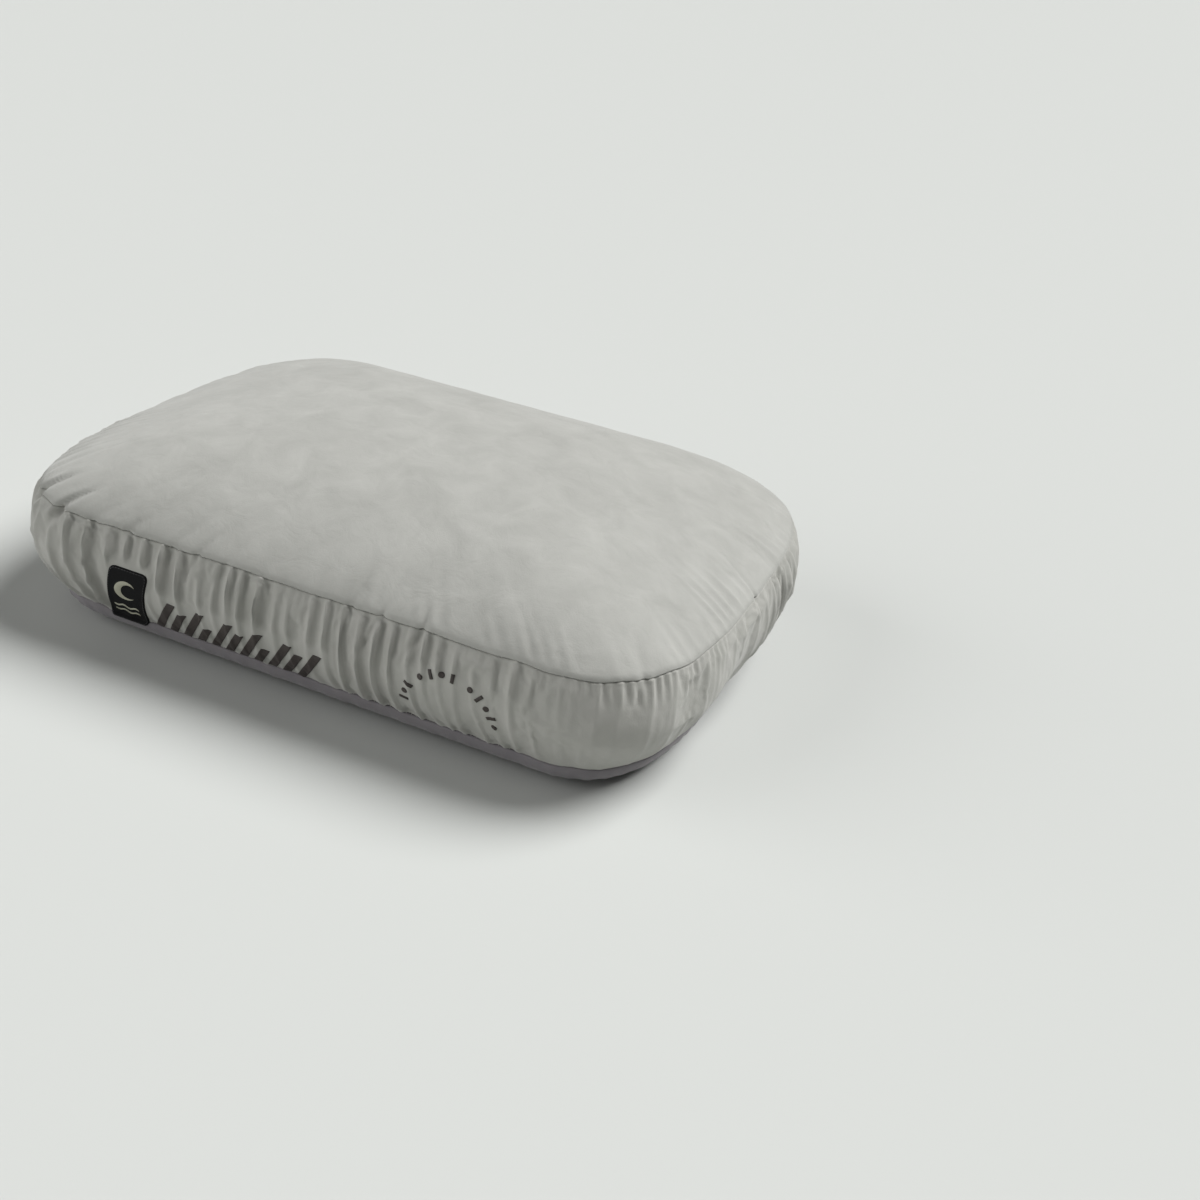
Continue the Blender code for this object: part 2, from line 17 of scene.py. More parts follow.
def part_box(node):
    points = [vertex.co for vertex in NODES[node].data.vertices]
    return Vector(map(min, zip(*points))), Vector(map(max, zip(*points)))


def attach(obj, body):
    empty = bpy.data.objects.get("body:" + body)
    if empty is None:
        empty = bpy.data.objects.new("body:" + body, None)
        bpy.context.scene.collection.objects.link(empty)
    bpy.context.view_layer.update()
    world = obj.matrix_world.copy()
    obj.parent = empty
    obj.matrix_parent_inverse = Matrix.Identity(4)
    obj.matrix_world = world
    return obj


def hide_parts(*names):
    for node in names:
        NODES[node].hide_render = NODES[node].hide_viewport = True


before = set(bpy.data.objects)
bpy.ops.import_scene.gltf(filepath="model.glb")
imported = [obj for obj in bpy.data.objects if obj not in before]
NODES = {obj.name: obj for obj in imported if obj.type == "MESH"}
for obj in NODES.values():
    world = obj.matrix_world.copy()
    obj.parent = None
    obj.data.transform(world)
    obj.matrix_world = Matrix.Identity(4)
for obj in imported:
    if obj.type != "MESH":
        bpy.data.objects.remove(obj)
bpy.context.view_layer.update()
print("pieces in the frame:", len(NODES))

# %% [markdown]
# ## Camera, floor and light
#
# The pillow is seen from a little above its front right corner, as a person standing beside it would.
# One broad lamp stands behind it on the right, so the dome and the right end are bright, the gathered
# front lies in soft shade, and the shadow falls to the front left. A much weaker one from the front left
# keeps that shade open. Both are sun lamps with a wide angle: their light is as strong far away as near,
# which keeps the whole pale floor even.

# %% Camera
MILLIMETRE = 0.001
CAMERA_PLACE = Vector((0.3692, -0.7046, 0.4514))
CAMERA_HEADING = radians(19.5)    # turned left from straight along +Y
CAMERA_DIP = radians(28.75)       # looking down
CAMERA_ROLL = radians(7.7)
CAMERA_LENS = 41.15               # in mm, on a 36 mm wide sensor

camera = bpy.data.objects.new("camera", bpy.data.cameras.new("camera"))
bpy.context.collection.objects.link(camera)
camera.data.lens = CAMERA_LENS
camera.data.clip_end = 100
camera.matrix_world = (Matrix.Translation(CAMERA_PLACE) @ Matrix.Rotation(CAMERA_HEADING, 4, "Z")
                       @ Matrix.Rotation(radians(90) - CAMERA_DIP, 4, "X")
                       @ Matrix.Rotation(CAMERA_ROLL, 4, "Z"))
bpy.context.scene.camera = camera
bpy.context.scene.view_settings.view_transform = "Standard"


# %% Colour and node helpers
def linear(code):
    """An sRGB hex colour as the linear colour that Blender works in."""
    parts = [int(code[i:i + 2], 16) / 255 for i in (1, 3, 5)]
    return tuple(c / 12.92 if c <= 0.04045 else ((c + 0.055) / 1.055) ** 2.4 for c in parts) + (1.0,)


def add(tree, kind, inputs=None, **settings):
    """Adds a node. An input is given as a number, a colour, or the socket that feeds it."""
    node = tree.nodes.new(kind)
    for name, value in settings.items():
        setattr(node, name, value)
    for name, value in (inputs or {}).items():
        if isinstance(value, bpy.types.NodeSocket):
            tree.links.new(value, node.inputs[name])
        else:
            node.inputs[name].default_value = value
    return node


def finish(name, colour, roughness, **sockets):
    """A material with a Principled shader. Returns the material, its tree and its shader."""
    material = bpy.data.materials.new(name)
    material.use_nodes = True
    tree = material.node_tree
    shader = tree.nodes["Principled BSDF"]
    shader.inputs["Base Color"].default_value = linear(colour)
    shader.inputs["Roughness"].default_value = roughness
    for socket, value in sockets.items():
        shader.inputs[socket.replace("_", " ")].default_value = value
    return material, tree, shader


def grained(name, colour, dark, pale, roughness, texture, scales, strength, depth, reading="Fac",
            **sockets):
    """A finish whose grain gives it two tones and a fine relief. reading is the texture's output."""
    material, tree, shader = finish(name, colour, roughness, **sockets)
    where = add(tree, "ShaderNodeTexCoord").outputs["Object"]
    settings = {"bands_direction": "DIAGONAL"} if texture == "Wave" else {}
    grain = add(tree, "ShaderNodeTex" + texture, {"Vector": where, **scales}, **settings).outputs[reading]
    tone = add(tree, "ShaderNodeMix", {0: grain, 6: linear(dark), 7: linear(pale)}, data_type="RGBA")
    tree.links.new(tone.outputs[2], shader.inputs["Base Color"])
    bump = add(tree, "ShaderNodeBump", {"Height": grain, "Strength": strength, "Distance": depth})
    tree.links.new(bump.outputs["Normal"], shader.inputs["Normal"])
    return material


# %% Floor and light
FLOOR_SIZE = 80.0

paper, paper_tree, paper_shader = finish("studio_paper", "#c7c9c6", 0.9, Specular_IOR_Level=0.15)
grain = add(paper_tree, "ShaderNodeTexNoise", {"Scale": 400.0, "Detail": 2.0})
grain_bump = add(paper_tree, "ShaderNodeBump", {"Height": grain.outputs["Fac"], "Strength": 0.05,
                                                "Distance": 0.0002})
paper_tree.links.new(grain_bump.outputs["Normal"], paper_shader.inputs["Normal"])

bpy.ops.mesh.primitive_plane_add(size=FLOOR_SIZE)
floor = bpy.context.object
floor.name = "studio_floor"
floor.data.materials.append(paper)


def sun(name, heading, height, energy, width):
    """A sun lamp that shines from this heading (from +X towards +Y) and height."""
    lamp = bpy.data.objects.new(name, bpy.data.lights.new(name, "SUN"))
    bpy.context.collection.objects.link(lamp)
    lamp.data.energy = energy
    lamp.data.angle = width
    towards = Vector((cos(heading) * cos(height), sin(heading) * cos(height), sin(height)))
    lamp.rotation_euler = towards.to_track_quat("Z", "Y").to_euler()


sun("window_light", heading=radians(44), height=radians(52), energy=4.0, width=radians(36))
sun("fill_light", heading=radians(212), height=radians(18), energy=1.8, width=radians(60))

world = bpy.data.worlds.new("studio")
bpy.context.scene.world = world
world.use_nodes = True
air = world.node_tree
sky = air.nodes["Background"]
sky.inputs["Color"].default_value = linear("#eef0ee")
sky.inputs["Strength"].default_value = 0.10
beyond = add(air, "ShaderNodeBackground", {"Color": linear("#dfe1de"), "Strength": 1.0})
seen = add(air, "ShaderNodeLightPath")
both = add(air, "ShaderNodeMixShader", {0: seen.outputs["Is Camera Ray"], 1: sky.outputs[0],
                                        2: beyond.outputs[0]})
air.links.new(both.outputs[0], air.nodes["World Output"].inputs["Surface"])

# %% [markdown]
# ## The shape under the cloth
#
# Foam and sewing decide a pillow's shape: a seam line that runs round the top, a second one below it,
# a wall that bulges between the two, and a dome above. The model was drawn from those same few sizes,
# so they are repeated here as one set of formulas. A *place* counts round the pillow from the front's
# left end, 0 to 8: even numbers start a straight run, odd ones a rounded corner. A *drop* runs down the
# wall: 0 at the top seam, 1 at the bottom seam, 2 where the underside lies flat.

# %% Driving sizes
seam_low, seam_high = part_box("top_panel")
HALF_LENGTH = seam_high.x
HALF_WIDTH = (seam_high.y - seam_low.y) / 2
MIDDLE_Y = (seam_high.y + seam_low.y) / 2
TOTAL_HEIGHT = seam_high.z
TOP_SEAM_Z = 0.0790
BOTTOM_SEAM_Z = 0.0175
CORNER_RUN = 0.080          # how far before each end the long sides start to turn
END_STRAIGHT = 0.020
CORNER_SQUARENESS = 2.9
CROWN_RISE = TOTAL_HEIGHT - TOP_SEAM_Z
CROWN_FLATNESS = 2.6
CROWN_SHOULDER = 0.80
WALL_BULGE = 0.0105
BOTTOM_SEAM_INSET = 0.009
UNDERSIDE_MARGIN = 0.027
COVER_THICKNESS = 0.0008
RUN_X = HALF_LENGTH - CORNER_RUN
RUN_Y = END_STRAIGHT / 2
CORNER_DEPTH = HALF_WIDTH - RUN_Y
WALL_HEIGHT = TOP_SEAM_Z - BOTTOM_SEAM_Z
FULL_LOOP = 8
TOP_SEAM_WANDER = 0.0006    # how far each seam rises and dips from level
BOTTOM_SEAM_WANDER = 0.0005
print(f"seam {2000 * HALF_LENGTH:.0f} x {2000 * HALF_WIDTH:.0f} mm, {1000 * TOTAL_HEIGHT:.0f} mm high")


# %% Surface formulas
def plan(place, grow=0.0):
    """Outline seen from above, pushed out by grow."""
    place = np.asarray(place, float) % FULL_LOOP
    grow = np.asarray(grow, float) + 0 * place
    run = np.floor(place).astype(int)
    along = place - run
    angle = np.radians(90) * ((run - 3) / 2 + along)
    c, s = np.cos(angle), np.sin(angle)
    size = (np.abs(c) ** CORNER_SQUARENESS + np.abs(s) ** CORNER_SQUARENESS) ** (1 / CORNER_SQUARENESS)
    corner_x = np.where((run == 1) | (run == 3), RUN_X, -RUN_X) + (CORNER_RUN + grow) * c / size
    corner_y = np.where((run == 3) | (run == 5), RUN_Y, -RUN_Y) + (CORNER_DEPTH + grow) * s / size
    slide_x, slide_y = RUN_X * (2 * along - 1), RUN_Y * (2 * along - 1)
    straight = [run == 0, run == 2, run == 4, run == 6]
    x = np.select(straight, [slide_x, HALF_LENGTH + grow, -slide_x, -HALF_LENGTH - grow], corner_x)
    y = np.select(straight, [-HALF_WIDTH - grow, slide_y, HALF_WIDTH + grow, -slide_y], corner_y)
    return x, y


def wall(place, drop):
    """Points on the wall and on the curl below it."""
    place = np.asarray(place, float)
    drop = np.asarray(drop, float) + 0 * place
    down = np.clip(drop, 0, 1)
    turn = np.radians(90) * np.clip(drop - 1, 0, 1)
    grow = np.where(drop <= 1, 4 * WALL_BULGE * down * (1 - down) - BOTTOM_SEAM_INSET * down,
                    -BOTTOM_SEAM_INSET - UNDERSIDE_MARGIN * (1 - np.cos(turn)))
    x, y = plan(place, grow)
    z = np.where(drop <= 1, TOP_SEAM_Z - WALL_HEIGHT * down, BOTTOM_SEAM_Z * (1 - np.sin(turn)))
    return np.stack([x, y + MIDDLE_Y, z], -1)


def dome(place, ring):
    """Points on the crowned top; ring is 0 in the middle and 1 on the seam."""
    x, y = plan(place)
    rise = CROWN_RISE * np.clip(1 - ring ** CROWN_FLATNESS, 0, 1) ** CROWN_SHOULDER
    return np.stack([x * ring, y * ring + MIDDLE_Y, TOP_SEAM_Z + rise], -1)


SMALL_STEP = 0.004          # of a place, to measure a direction with


def outward(place):
    """Level direction that points away from the pillow."""
    ahead = wall(np.asarray(place) + SMALL_STEP, 0.5) - wall(np.asarray(place) - SMALL_STEP, 0.5)
    across = np.stack([ahead[..., 1], -ahead[..., 0], 0 * ahead[..., 0]], -1)
    return across / np.linalg.norm(across, axis=-1, keepdims=True)


# A table of lengths lets the cloth be cut in even steps: places are not evenly spaced round the pillow.
TABLE_POINTS = 8001
PLACES = np.linspace(0, 2 * FULL_LOOP, TABLE_POINTS)
LENGTHS = np.concatenate([[0], np.cumsum(np.linalg.norm(np.diff(wall(PLACES, 0.5), axis=0), axis=1))])
ROUND = LENGTHS[-1] / 2
print(f"the wall is {1000 * ROUND:.0f} mm round")


# %% Mesh and noise helpers
def grid_faces(rows, columns, closed=False):
    """Faces of a grid of points whose rows follow each other downwards or outwards."""
    index = np.arange(rows * columns).reshape(rows, columns)
    if closed:
        index = np.concatenate([index, index[:, :1]], axis=1)
    corners = [index[:-1, :-1], index[1:, :-1], index[1:, 1:], index[:-1, 1:]]
    return np.stack([c.ravel() for c in corners], 1)


def make_piece(name, points, faces, material, smooth=True):
    """A mesh object at the origin, with its place in its points."""
    mesh = bpy.data.meshes.new(name)
    mesh.from_pydata(np.asarray(points).reshape(-1, 3).tolist(), [], [list(map(int, f)) for f in faces])
    mesh.materials.append(material)
    if smooth:
        mesh.shade_smooth()
    piece = bpy.data.objects.new(name, mesh)
    bpy.context.collection.objects.link(piece)
    return piece


def noise(across, down, seed):
    """Smooth noise between -1 and 1 that changes over one unit of across and of down."""
    across, down = across - across.min(), down - down.min()
    values = np.random.default_rng(seed).uniform(-1, 1, (int(down.max()) + 3, int(across.max()) + 3))
    row, column = np.floor(down).astype(int), np.floor(across).astype(int)
    s, t = down - row, across - column
    s, t = s * s * (3 - 2 * s), t * t * (3 - 2 * t)
    near = values[row, column] * (1 - s) + values[row + 1, column] * s
    far = values[row, column + 1] * (1 - s) + values[row + 1, column + 1] * s
    return near * (1 - t) + far * t


WAVES_ADDED = 10
WAVES_PEAK = 4.5            # about as high as that many waves reach together


def wander(place, waves, seed):
    """A gentle line that closes on itself round the pillow, between about -1 and 1."""
    turn = 2 * pi * np.interp(place, PLACES, LENGTHS) / ROUND
    draw = np.random.default_rng(seed)
    counts = draw.integers(waves[0], waves[1], WAVES_ADDED)
    shifts = draw.uniform(0, 2 * pi, WAVES_ADDED)
    return sum(np.cos(k * turn + shift) for k, shift in zip(counts, shifts)) / WAVES_PEAK


def top_seam(place):
    """How far the top seam line rises or dips from level."""
    return TOP_SEAM_WANDER * wander(place, (12, 50), 1)


def bottom_seam(place):
    """The same for the bottom seam line."""
    return BOTTOM_SEAM_WANDER * wander(place, (14, 70), 2)


# %% [markdown]
# ## Letting the cloth settle
#
# The cover is fuller than the foam in it, and its wall was gathered before it was sewn. Cloth like this
# is hard to draw and easy to simulate. Each panel starts folded, with the fullness that the sewing gave
# it, is held along its seams, and is then blown up gently from inside while Blender's Cloth finds where
# the folds want to lie. How far a point may end up from the smooth pillow is capped, so a stray fold
# can't change the pillow's size.

# %% The cloth helper
def settle(name, start, smooth, lift, faces, held, pressure, grow, frames, most):
    """Simulates a panel and returns its settled points, at most `most` in or out from the smooth shape."""
    panel = make_piece(name + "_cloth", start, faces, paper)
    panel.vertex_groups.new(name="seams").add([int(i) for i in held], 1.0, "REPLACE")
    cloth = panel.modifiers.new("cloth", "CLOTH")
    settings = cloth.settings
    settings.quality = 4
    settings.mass = 0.002
    settings.air_damping = 2
    settings.tension_stiffness = settings.compression_stiffness = 15
    settings.shear_stiffness = 5
    settings.bending_stiffness = 0.02
    settings.vertex_group_mass = "seams"
    settings.shrink_min = -grow
    settings.use_pressure = True
    settings.uniform_pressure_force = pressure
    settings.effector_weights.gravity = 0
    cloth.collision_settings.use_collision = False
    cloth.point_cache.frame_start, cloth.point_cache.frame_end = 1, frames
    for step in range(1, frames + 1):
        bpy.context.scene.frame_set(step)
    settled = panel.evaluated_get(bpy.context.evaluated_depsgraph_get()).to_mesh()
    points = np.empty(3 * len(settled.vertices), np.float32)
    settled.vertices.foreach_get("co", points)
    bpy.data.objects.remove(panel)
    bpy.context.scene.frame_set(1)
    points = points.reshape(-1, 3).astype(float)
    smooth, lift = smooth.reshape(-1, 3), lift.reshape(-1, 3)
    out = ((points - smooth) * lift).sum(1)
    points += lift * (np.clip(out, -most, most) - out)[:, None]
    print(name, f"settled, {1000 * out.std():.1f} mm of folds, {1000 * out.mean():.1f} mm out on average")
    return points


def lifts(points, faces):
    """Unit normal at each point of a mesh."""
    points = points.reshape(-1, 3)
    a, b, c, d = (points[faces[:, i]] for i in range(4))
    normal = np.cross(c - a, d - b)
    total = np.zeros_like(points)
    for i in range(4):
        np.add.at(total, faces[:, i], normal)
    return total / np.maximum(np.linalg.norm(total, axis=1, keepdims=True), 1e-12)


# %% [markdown]
# ## Cloth and thread finishes
#
# The cover is brushed polyester: a knit whose face has been combed into a short nap, so it is matt, with
# a faint light edge where the nap is seen sideways. Its colour is mottled in soft patches: partly brush
# marks in the nap, and partly painted shade of soft crumples. The underside is a plain, smoother cloth of a
# darker, slightly purple grey. Their fibres are much finer than a picture can show, so the nap is drawn at
# about 1 mm.

# %% Cloth finishes
def brushed(name, colour, shade, nap_mm, crease_mm, crease_depth):
    """A napped cloth: mottled colour that is partly painted crumple shade, fine nap and a faint soft crumple.
    """
    material, tree, shader = finish(name, colour, 0.92, Sheen_Weight=0.18, Sheen_Roughness=0.45)
    where = add(tree, "ShaderNodeTexCoord").outputs["Object"]
    # The mottle darkens the colour in soft patches, about 25 mm across. These are brush marks, and also
    # painted shade of soft crumples.
    mottle = add(tree, "ShaderNodeTexNoise", {"Vector": where, "Scale": 38.0, "Detail": 5.0,
                                              "Roughness": 0.62, "Distortion": 0.5})
    tone = add(tree, "ShaderNodeMapRange", {"Value": mottle.outputs["Fac"], "From Min": 0.3, "From Max": 0.7})
    mix = add(tree, "ShaderNodeMix", {0: tone.outputs["Result"], 6: linear(shade), 7: linear(colour)},
              data_type="RGBA")
    tree.links.new(mix.outputs[2], shader.inputs["Base Color"])
    nap = add(tree, "ShaderNodeTexNoise", {"Vector": where, "Scale": 1 / (nap_mm * MILLIMETRE), "Detail": 3.0,
                                           "Roughness": 0.7})
    crease = add(tree, "ShaderNodeTexNoise", {"Vector": where, "Scale": 1 / (crease_mm * MILLIMETRE),
                                              "Detail": 3.0, "Distortion": 1.2})
    soft = add(tree, "ShaderNodeBump", {"Height": crease.outputs["Fac"], "Strength": 1.0,
                                        "Distance": crease_depth})
    fine = add(tree, "ShaderNodeBump", {"Height": nap.outputs["Fac"], "Strength": 0.5, "Distance": 0.00025,
                                        "Normal": soft.outputs["Normal"]})
    tree.links.new(fine.outputs["Normal"], shader.inputs["Normal"])
    return material


# The top's tone is a little paler than the wall's, though both are the same cloth: that difference is painted
# light on the top.
COVER_CLOTH = brushed("brushed_polyester_cover", "#afafaa", "#a2a29d", 0.9, 18, 0.0006)
WALL_CLOTH = brushed("brushed_polyester_wall", "#abaaa5", "#a2a29c", 0.9, 18, 0.0003)
UNDERSIDE_CLOTH = brushed("plain_polyester_underside", "#827e81", "#7a767a", 0.6, 20, 0.0004)

# %% [markdown]
# ## The gathered wall
#
# One long strip of cloth runs round the front and both ends, from one back seam to the other. It was cut
# a quarter to a third longer than the seam it is sewn to along the front, and hardly longer at the front
# right corner, where it lies smooth. The folds are started by a formula, with narrow creases and rounded
# puffs between them, and a little noise moves them off their even spacing.

# %% Where the wall is gathered
SEAM_ROLL = 0.0011          # radius of the roll that each panel's edge makes as it turns into a seam
WALL_CELL = 0.00135         # step between the cloth's points along the seam
WALL_FALL = 0.068           # length down the bulged wall
BACK_SEAM_OUT = 0.134       # from the middle of the back to the strip's upright edges
FIRST_PLACE = 4 + (RUN_X + BACK_SEAM_OUT) / (2 * RUN_X)     # the back seam on the left
LAST_PLACE = 12 + (RUN_X - BACK_SEAM_OUT) / (2 * RUN_X)
GATHER_PLACES = (4.9, 5.5, 6.5, 7.3, 7.9, 8.15, 8.5, 8.85, 9.02, 9.3, 9.7, 10.3, 11.0, 12.1)
GATHER_SHARES = (.08, .08, .06, .05, .09, .22, .30, .34, .05, .012, .02, .03, .08, .08)
FOLD_PITCHES = (14., 14., 14., 16., 14., 12., 10.5, 10., 13., 15., 18., 18., 14., 14.)     # mm between folds
FOLD_SKEW = 0.6             # folds lean over to one side, so that one flank is steeper
FOLD_HEIGHT = 1.15          # against what the cut alone would give
FOLD_SWAYS = ((2.2, 0.035, 11), (1.8, 0.015, 12))           # radians, metres between turns, seed
STRENGTH_MEAN = 0.78
STRENGTH_SPREAD = 0.85
STRENGTH_STEP = 0.019
CREASE = 0.8                # below 1 a crease is narrower than the puffs beside it
FINE_PITCH = 0.0068
FINE_SWAY, FINE_STEP = 2.6, 0.012
FINE_SHARE = 0.25           # above 0, the fine folds cover more than half of the cloth
FINE_SPREAD = 0.022         # from one group of them to the next
FINE_HEIGHT = 0.0024
SMALL_PLACES = (7.1, 7.25, 7.4, 7.6, 9.2, 9.35, 9.55, 9.75)
SMALL_SHARES = (.2, 1.3, 1.3, .3, .2, .9, .9, .2)
SMALL_PITCH = 0.0058
SMALL_SWAY, SMALL_STEP = 3, 0.010
SMALL_HEIGHT = 0.0011

first_length, last_length = np.interp([FIRST_PLACE, LAST_PLACE], PLACES, LENGTHS)
wall_length = np.linspace(first_length, last_length, int((last_length - first_length) / WALL_CELL))
wall_place = np.interp(wall_length, LENGTHS, PLACES)
wall_drop = np.linspace(SEAM_ROLL / WALL_HEIGHT, 1 - SEAM_ROLL / WALL_HEIGHT, int(WALL_FALL / WALL_CELL))
DROP, PLACE = np.meshgrid(wall_drop, wall_place, indexing="ij")
DISTANCE = wall_length[None, :] - wall_length[0] + 0 * DROP
wall_faces = grid_faces(*PLACE.shape)
print("wall cloth:", PLACE.shape[1], "x", PLACE.shape[0], "points")


def creased(phase):
    """A fold's profile: -1 in its narrow crease, 1 on the rounded puff half a turn on."""
    return 1 - 2 * np.abs(np.cos(phase / 2)) ** CREASE


# %% Fold the strip and let it settle
wall_smooth = wall(PLACE, DROP)
wall_smooth[..., 2] += top_seam(PLACE) * (1 - DROP) + bottom_seam(PLACE) * DROP
wall_lift = lifts(wall_smooth, wall_faces).reshape(wall_smooth.shape)

share = np.interp(wall_place, GATHER_PLACES, GATHER_SHARES)[None, :]
pitch = np.interp(wall_place, GATHER_PLACES, FOLD_PITCHES) * MILLIMETRE
count = np.concatenate([[0], np.cumsum(np.diff(wall_length) / pitch[1:])])[None, :]
phase = 2 * pi * count
for sway, step, seed in FOLD_SWAYS:
    phase = phase + sway * noise(DISTANCE / step, DROP * 0.8, seed)
phase += FOLD_SKEW * np.cos(phase)
strength = STRENGTH_MEAN + STRENGTH_SPREAD * noise(DISTANCE / STRENGTH_STEP, DROP, 13)
depth = pitch[None, :] / pi * np.sqrt(share) * strength

# Finer folds lie over the main ones in places, and small tucks follow the top seam at the corners.
fine_phase = 2 * pi * DISTANCE / FINE_PITCH + FINE_SWAY * noise(DISTANCE / FINE_STEP, DROP * 0.9, 15)
fine_here = np.clip(FINE_SHARE + noise(DISTANCE / FINE_SPREAD, DROP * 0.9, 16), 0, 1)
fine = creased(fine_phase) * (fine_here * np.sqrt(share) * FINE_HEIGHT)
near_seam = np.abs(2 * DROP - 1) ** 4
small_share = np.interp(wall_place, SMALL_PLACES, SMALL_SHARES)[None, :] * (DROP < 0.5)
small_phase = 2 * pi * DISTANCE / SMALL_PITCH + SMALL_SWAY * noise(DISTANCE / SMALL_STEP, DROP * 2.5, 14)
small = np.sin(small_phase)
held_down = 1 - np.abs(2 * DROP - 1) ** 24
height = FOLD_HEIGHT * creased(phase) * depth * (1 - 0.3 * near_seam)
height = (height + fine + near_seam * small_share * SMALL_HEIGHT * small) * held_down
wall_start = wall_smooth + wall_lift * height[..., None]

index = np.arange(PLACE.size).reshape(PLACE.shape)
wall_held = np.unique(np.concatenate([index[0], index[-1], index[:, 0], index[:, -1]]))
wall_points = settle("gathered_wall", wall_start, wall_smooth, wall_lift, wall_faces, wall_held,
                     pressure=1.2, grow=0.015, frames=10, most=0.0040).reshape(wall_smooth.shape)


# %% [markdown]
# ### Flat under the patch, calmer under the prints
#
# The patch is stiffer than the cover, and its stitches hold the cloth flat under it. So the folds are
# smoothed out there, by blending each point's height with the average over the cloth around it. Dried
# ink stiffens the cloth as well, so the folds under the prints keep only a third of their height. The
# right end was cut to the seam's own length, and hardly folds at all.

# %% Flatten the cloth under the patch and the prints
PATCH_WIDTH = 0.0275
PATCH_HEIGHT = 0.0500
PATCH_LEAN = 0.0145
PATCH_TOP_X = -RUN_X + 0.0290
PATCH_TOP_DROP = 0.32
AVERAGE_REACH = 9           # points of the cloth on either side
FLAT_BESIDE = (-0.001, 0.006)           # from the patch's edge: flat before, folded after
FLAT_ABOVE = (0.14, 0.02)               # of a drop above the patch's top: folded before, flat after
FLAT_BELOW = (0.94, 1.0)                # drops at which the flat cloth ends again at the seam
PRINT_CALM = 0.68
BAND_SPAN, BAND_DROPS = (-0.106, 0.020), (0.52, 1.0)        # along the front, and down it
ARC_SPAN, ARC_DROPS = (0.066, 0.130), (0.34, 0.85)
END_CALM = 0.55
END_PLACES, END_DROPS = (9.15, 10.6), (0.25, 1.0)
SPAN_FADE = 0.012
DROP_FADE = 0.12
PLACE_FADE = 0.2


def average(values, reach):
    """Each value becomes the average over a square around it."""
    for axis in (0, 1):
        span = [(reach, reach) if k == axis else (0, 0) for k in (0, 1)]
        total = np.cumsum(np.pad(values, span, mode="edge"), axis=axis)
        total = np.insert(total, 0, 0, axis=axis)
        width = 2 * reach + 1
        values = (np.take(total, range(width, total.shape[axis]), axis=axis)
                  - np.take(total, range(0, total.shape[axis] - width), axis=axis)) / width
    return values


def ease(values, low, high):
    """0 below low, 1 above high, and a smooth step between."""
    share_between = np.clip((values - low) / (high - low), 0, 1)
    return share_between * share_between * (3 - 2 * share_between)


def zone(values, low, high, fade):
    """1 between low and high, fading to 0 on both sides."""
    return ease(values, low - fade, low) * (1 - ease(values, high, high + fade))


stand_off = ((wall_points - wall_smooth) * wall_lift).sum(-1)
calm_off = average(average(stand_off, AVERAGE_REACH), AVERAGE_REACH)
front_x = (PLACE - FULL_LOOP) * 2 * RUN_X - RUN_X
patch_middle = PATCH_TOP_X - PATCH_LEAN * (DROP - PATCH_TOP_DROP) * WALL_HEIGHT / PATCH_HEIGHT
beside_patch = np.abs(front_x - patch_middle) - PATCH_WIDTH / 2
calm = 1 - ease(beside_patch, *FLAT_BESIDE)
calm *= ease(DROP, PATCH_TOP_DROP - FLAT_ABOVE[0], PATCH_TOP_DROP - FLAT_ABOVE[1])
calm *= 1 - ease(DROP, *FLAT_BELOW)
under_band = zone(front_x, *BAND_SPAN, SPAN_FADE) * zone(DROP, *BAND_DROPS, DROP_FADE)
under_arc = zone(front_x, *ARC_SPAN, SPAN_FADE) * zone(DROP, *ARC_DROPS, DROP_FADE)
right_end = zone(PLACE, *END_PLACES, PLACE_FADE) * zone(DROP, *END_DROPS, DROP_FADE)
for mask in (PRINT_CALM * under_band, PRINT_CALM * under_arc, END_CALM * right_end):
    calm = np.maximum(calm, mask)
wall_points += wall_lift * ((calm_off - stand_off) * calm)[..., None]

# %% [markdown]
# ### Room for the zip pull
#
# At either end of the zip the pull swings out over the strip's upright edge. A fold that stood proud
# there would catch it, so the folds are pressed in as far as the pull reaches. They may still dip.

# %% Press the folds in beside the zip
PULL_REACH = 0.034
PULL_ROOM = 0.0009
PULL_DROPS = (0.22, 0.68)
PULL_DROP_FADE = 0.14
to_zip = np.minimum(DISTANCE, DISTANCE.max() - DISTANCE)
beside_zip = 1 - ease(to_zip, PULL_REACH, PULL_REACH + SPAN_FADE)
beside_zip *= zone(DROP, *PULL_DROPS, PULL_DROP_FADE)
stand_off = ((wall_points - wall_smooth) * wall_lift).sum(-1)
too_proud = np.maximum(stand_off + PULL_ROOM, 0)
wall_points -= wall_lift * (too_proud * beside_zip)[..., None]

# %% [markdown]
# ### Pinches along the seam
#
# Where the strip turns the front left corner, its fullness is taken up in two deep pinches that pull the
# seam itself inwards, and shallower ones are scattered along the front. Each is a narrow valley with a
# low ridge on either side. It is deepest at the seam and fades out within a couple of centimetres, on the
# wall and on the top alike. The table gives each one's place, depth, width and reach.

# %% Pinch the seam
PINCHES = ((7.62, 0.0048, 0.0032, 0.012), (7.80, 0.0042, 0.0030, 0.011), (8.00, 0.0012, 0.0022, 0.012),
           (8.09, 0.0014, 0.0022, 0.010), (8.20, 0.0009, 0.0018, 0.022), (8.26, 0.0015, 0.0019, 0.013),
           (8.33, 0.0008, 0.0018, 0.020), (8.62, 0.0016, 0.0016, 0.016), (8.69, 0.0020, 0.0017, 0.024),
           (8.78, 0.0017, 0.0016, 0.018), (9.45, 0.0012, 0.0020, 0.012), (10.1, 0.0012, 0.0018, 0.018))
PINCH_SLANT = 0.45


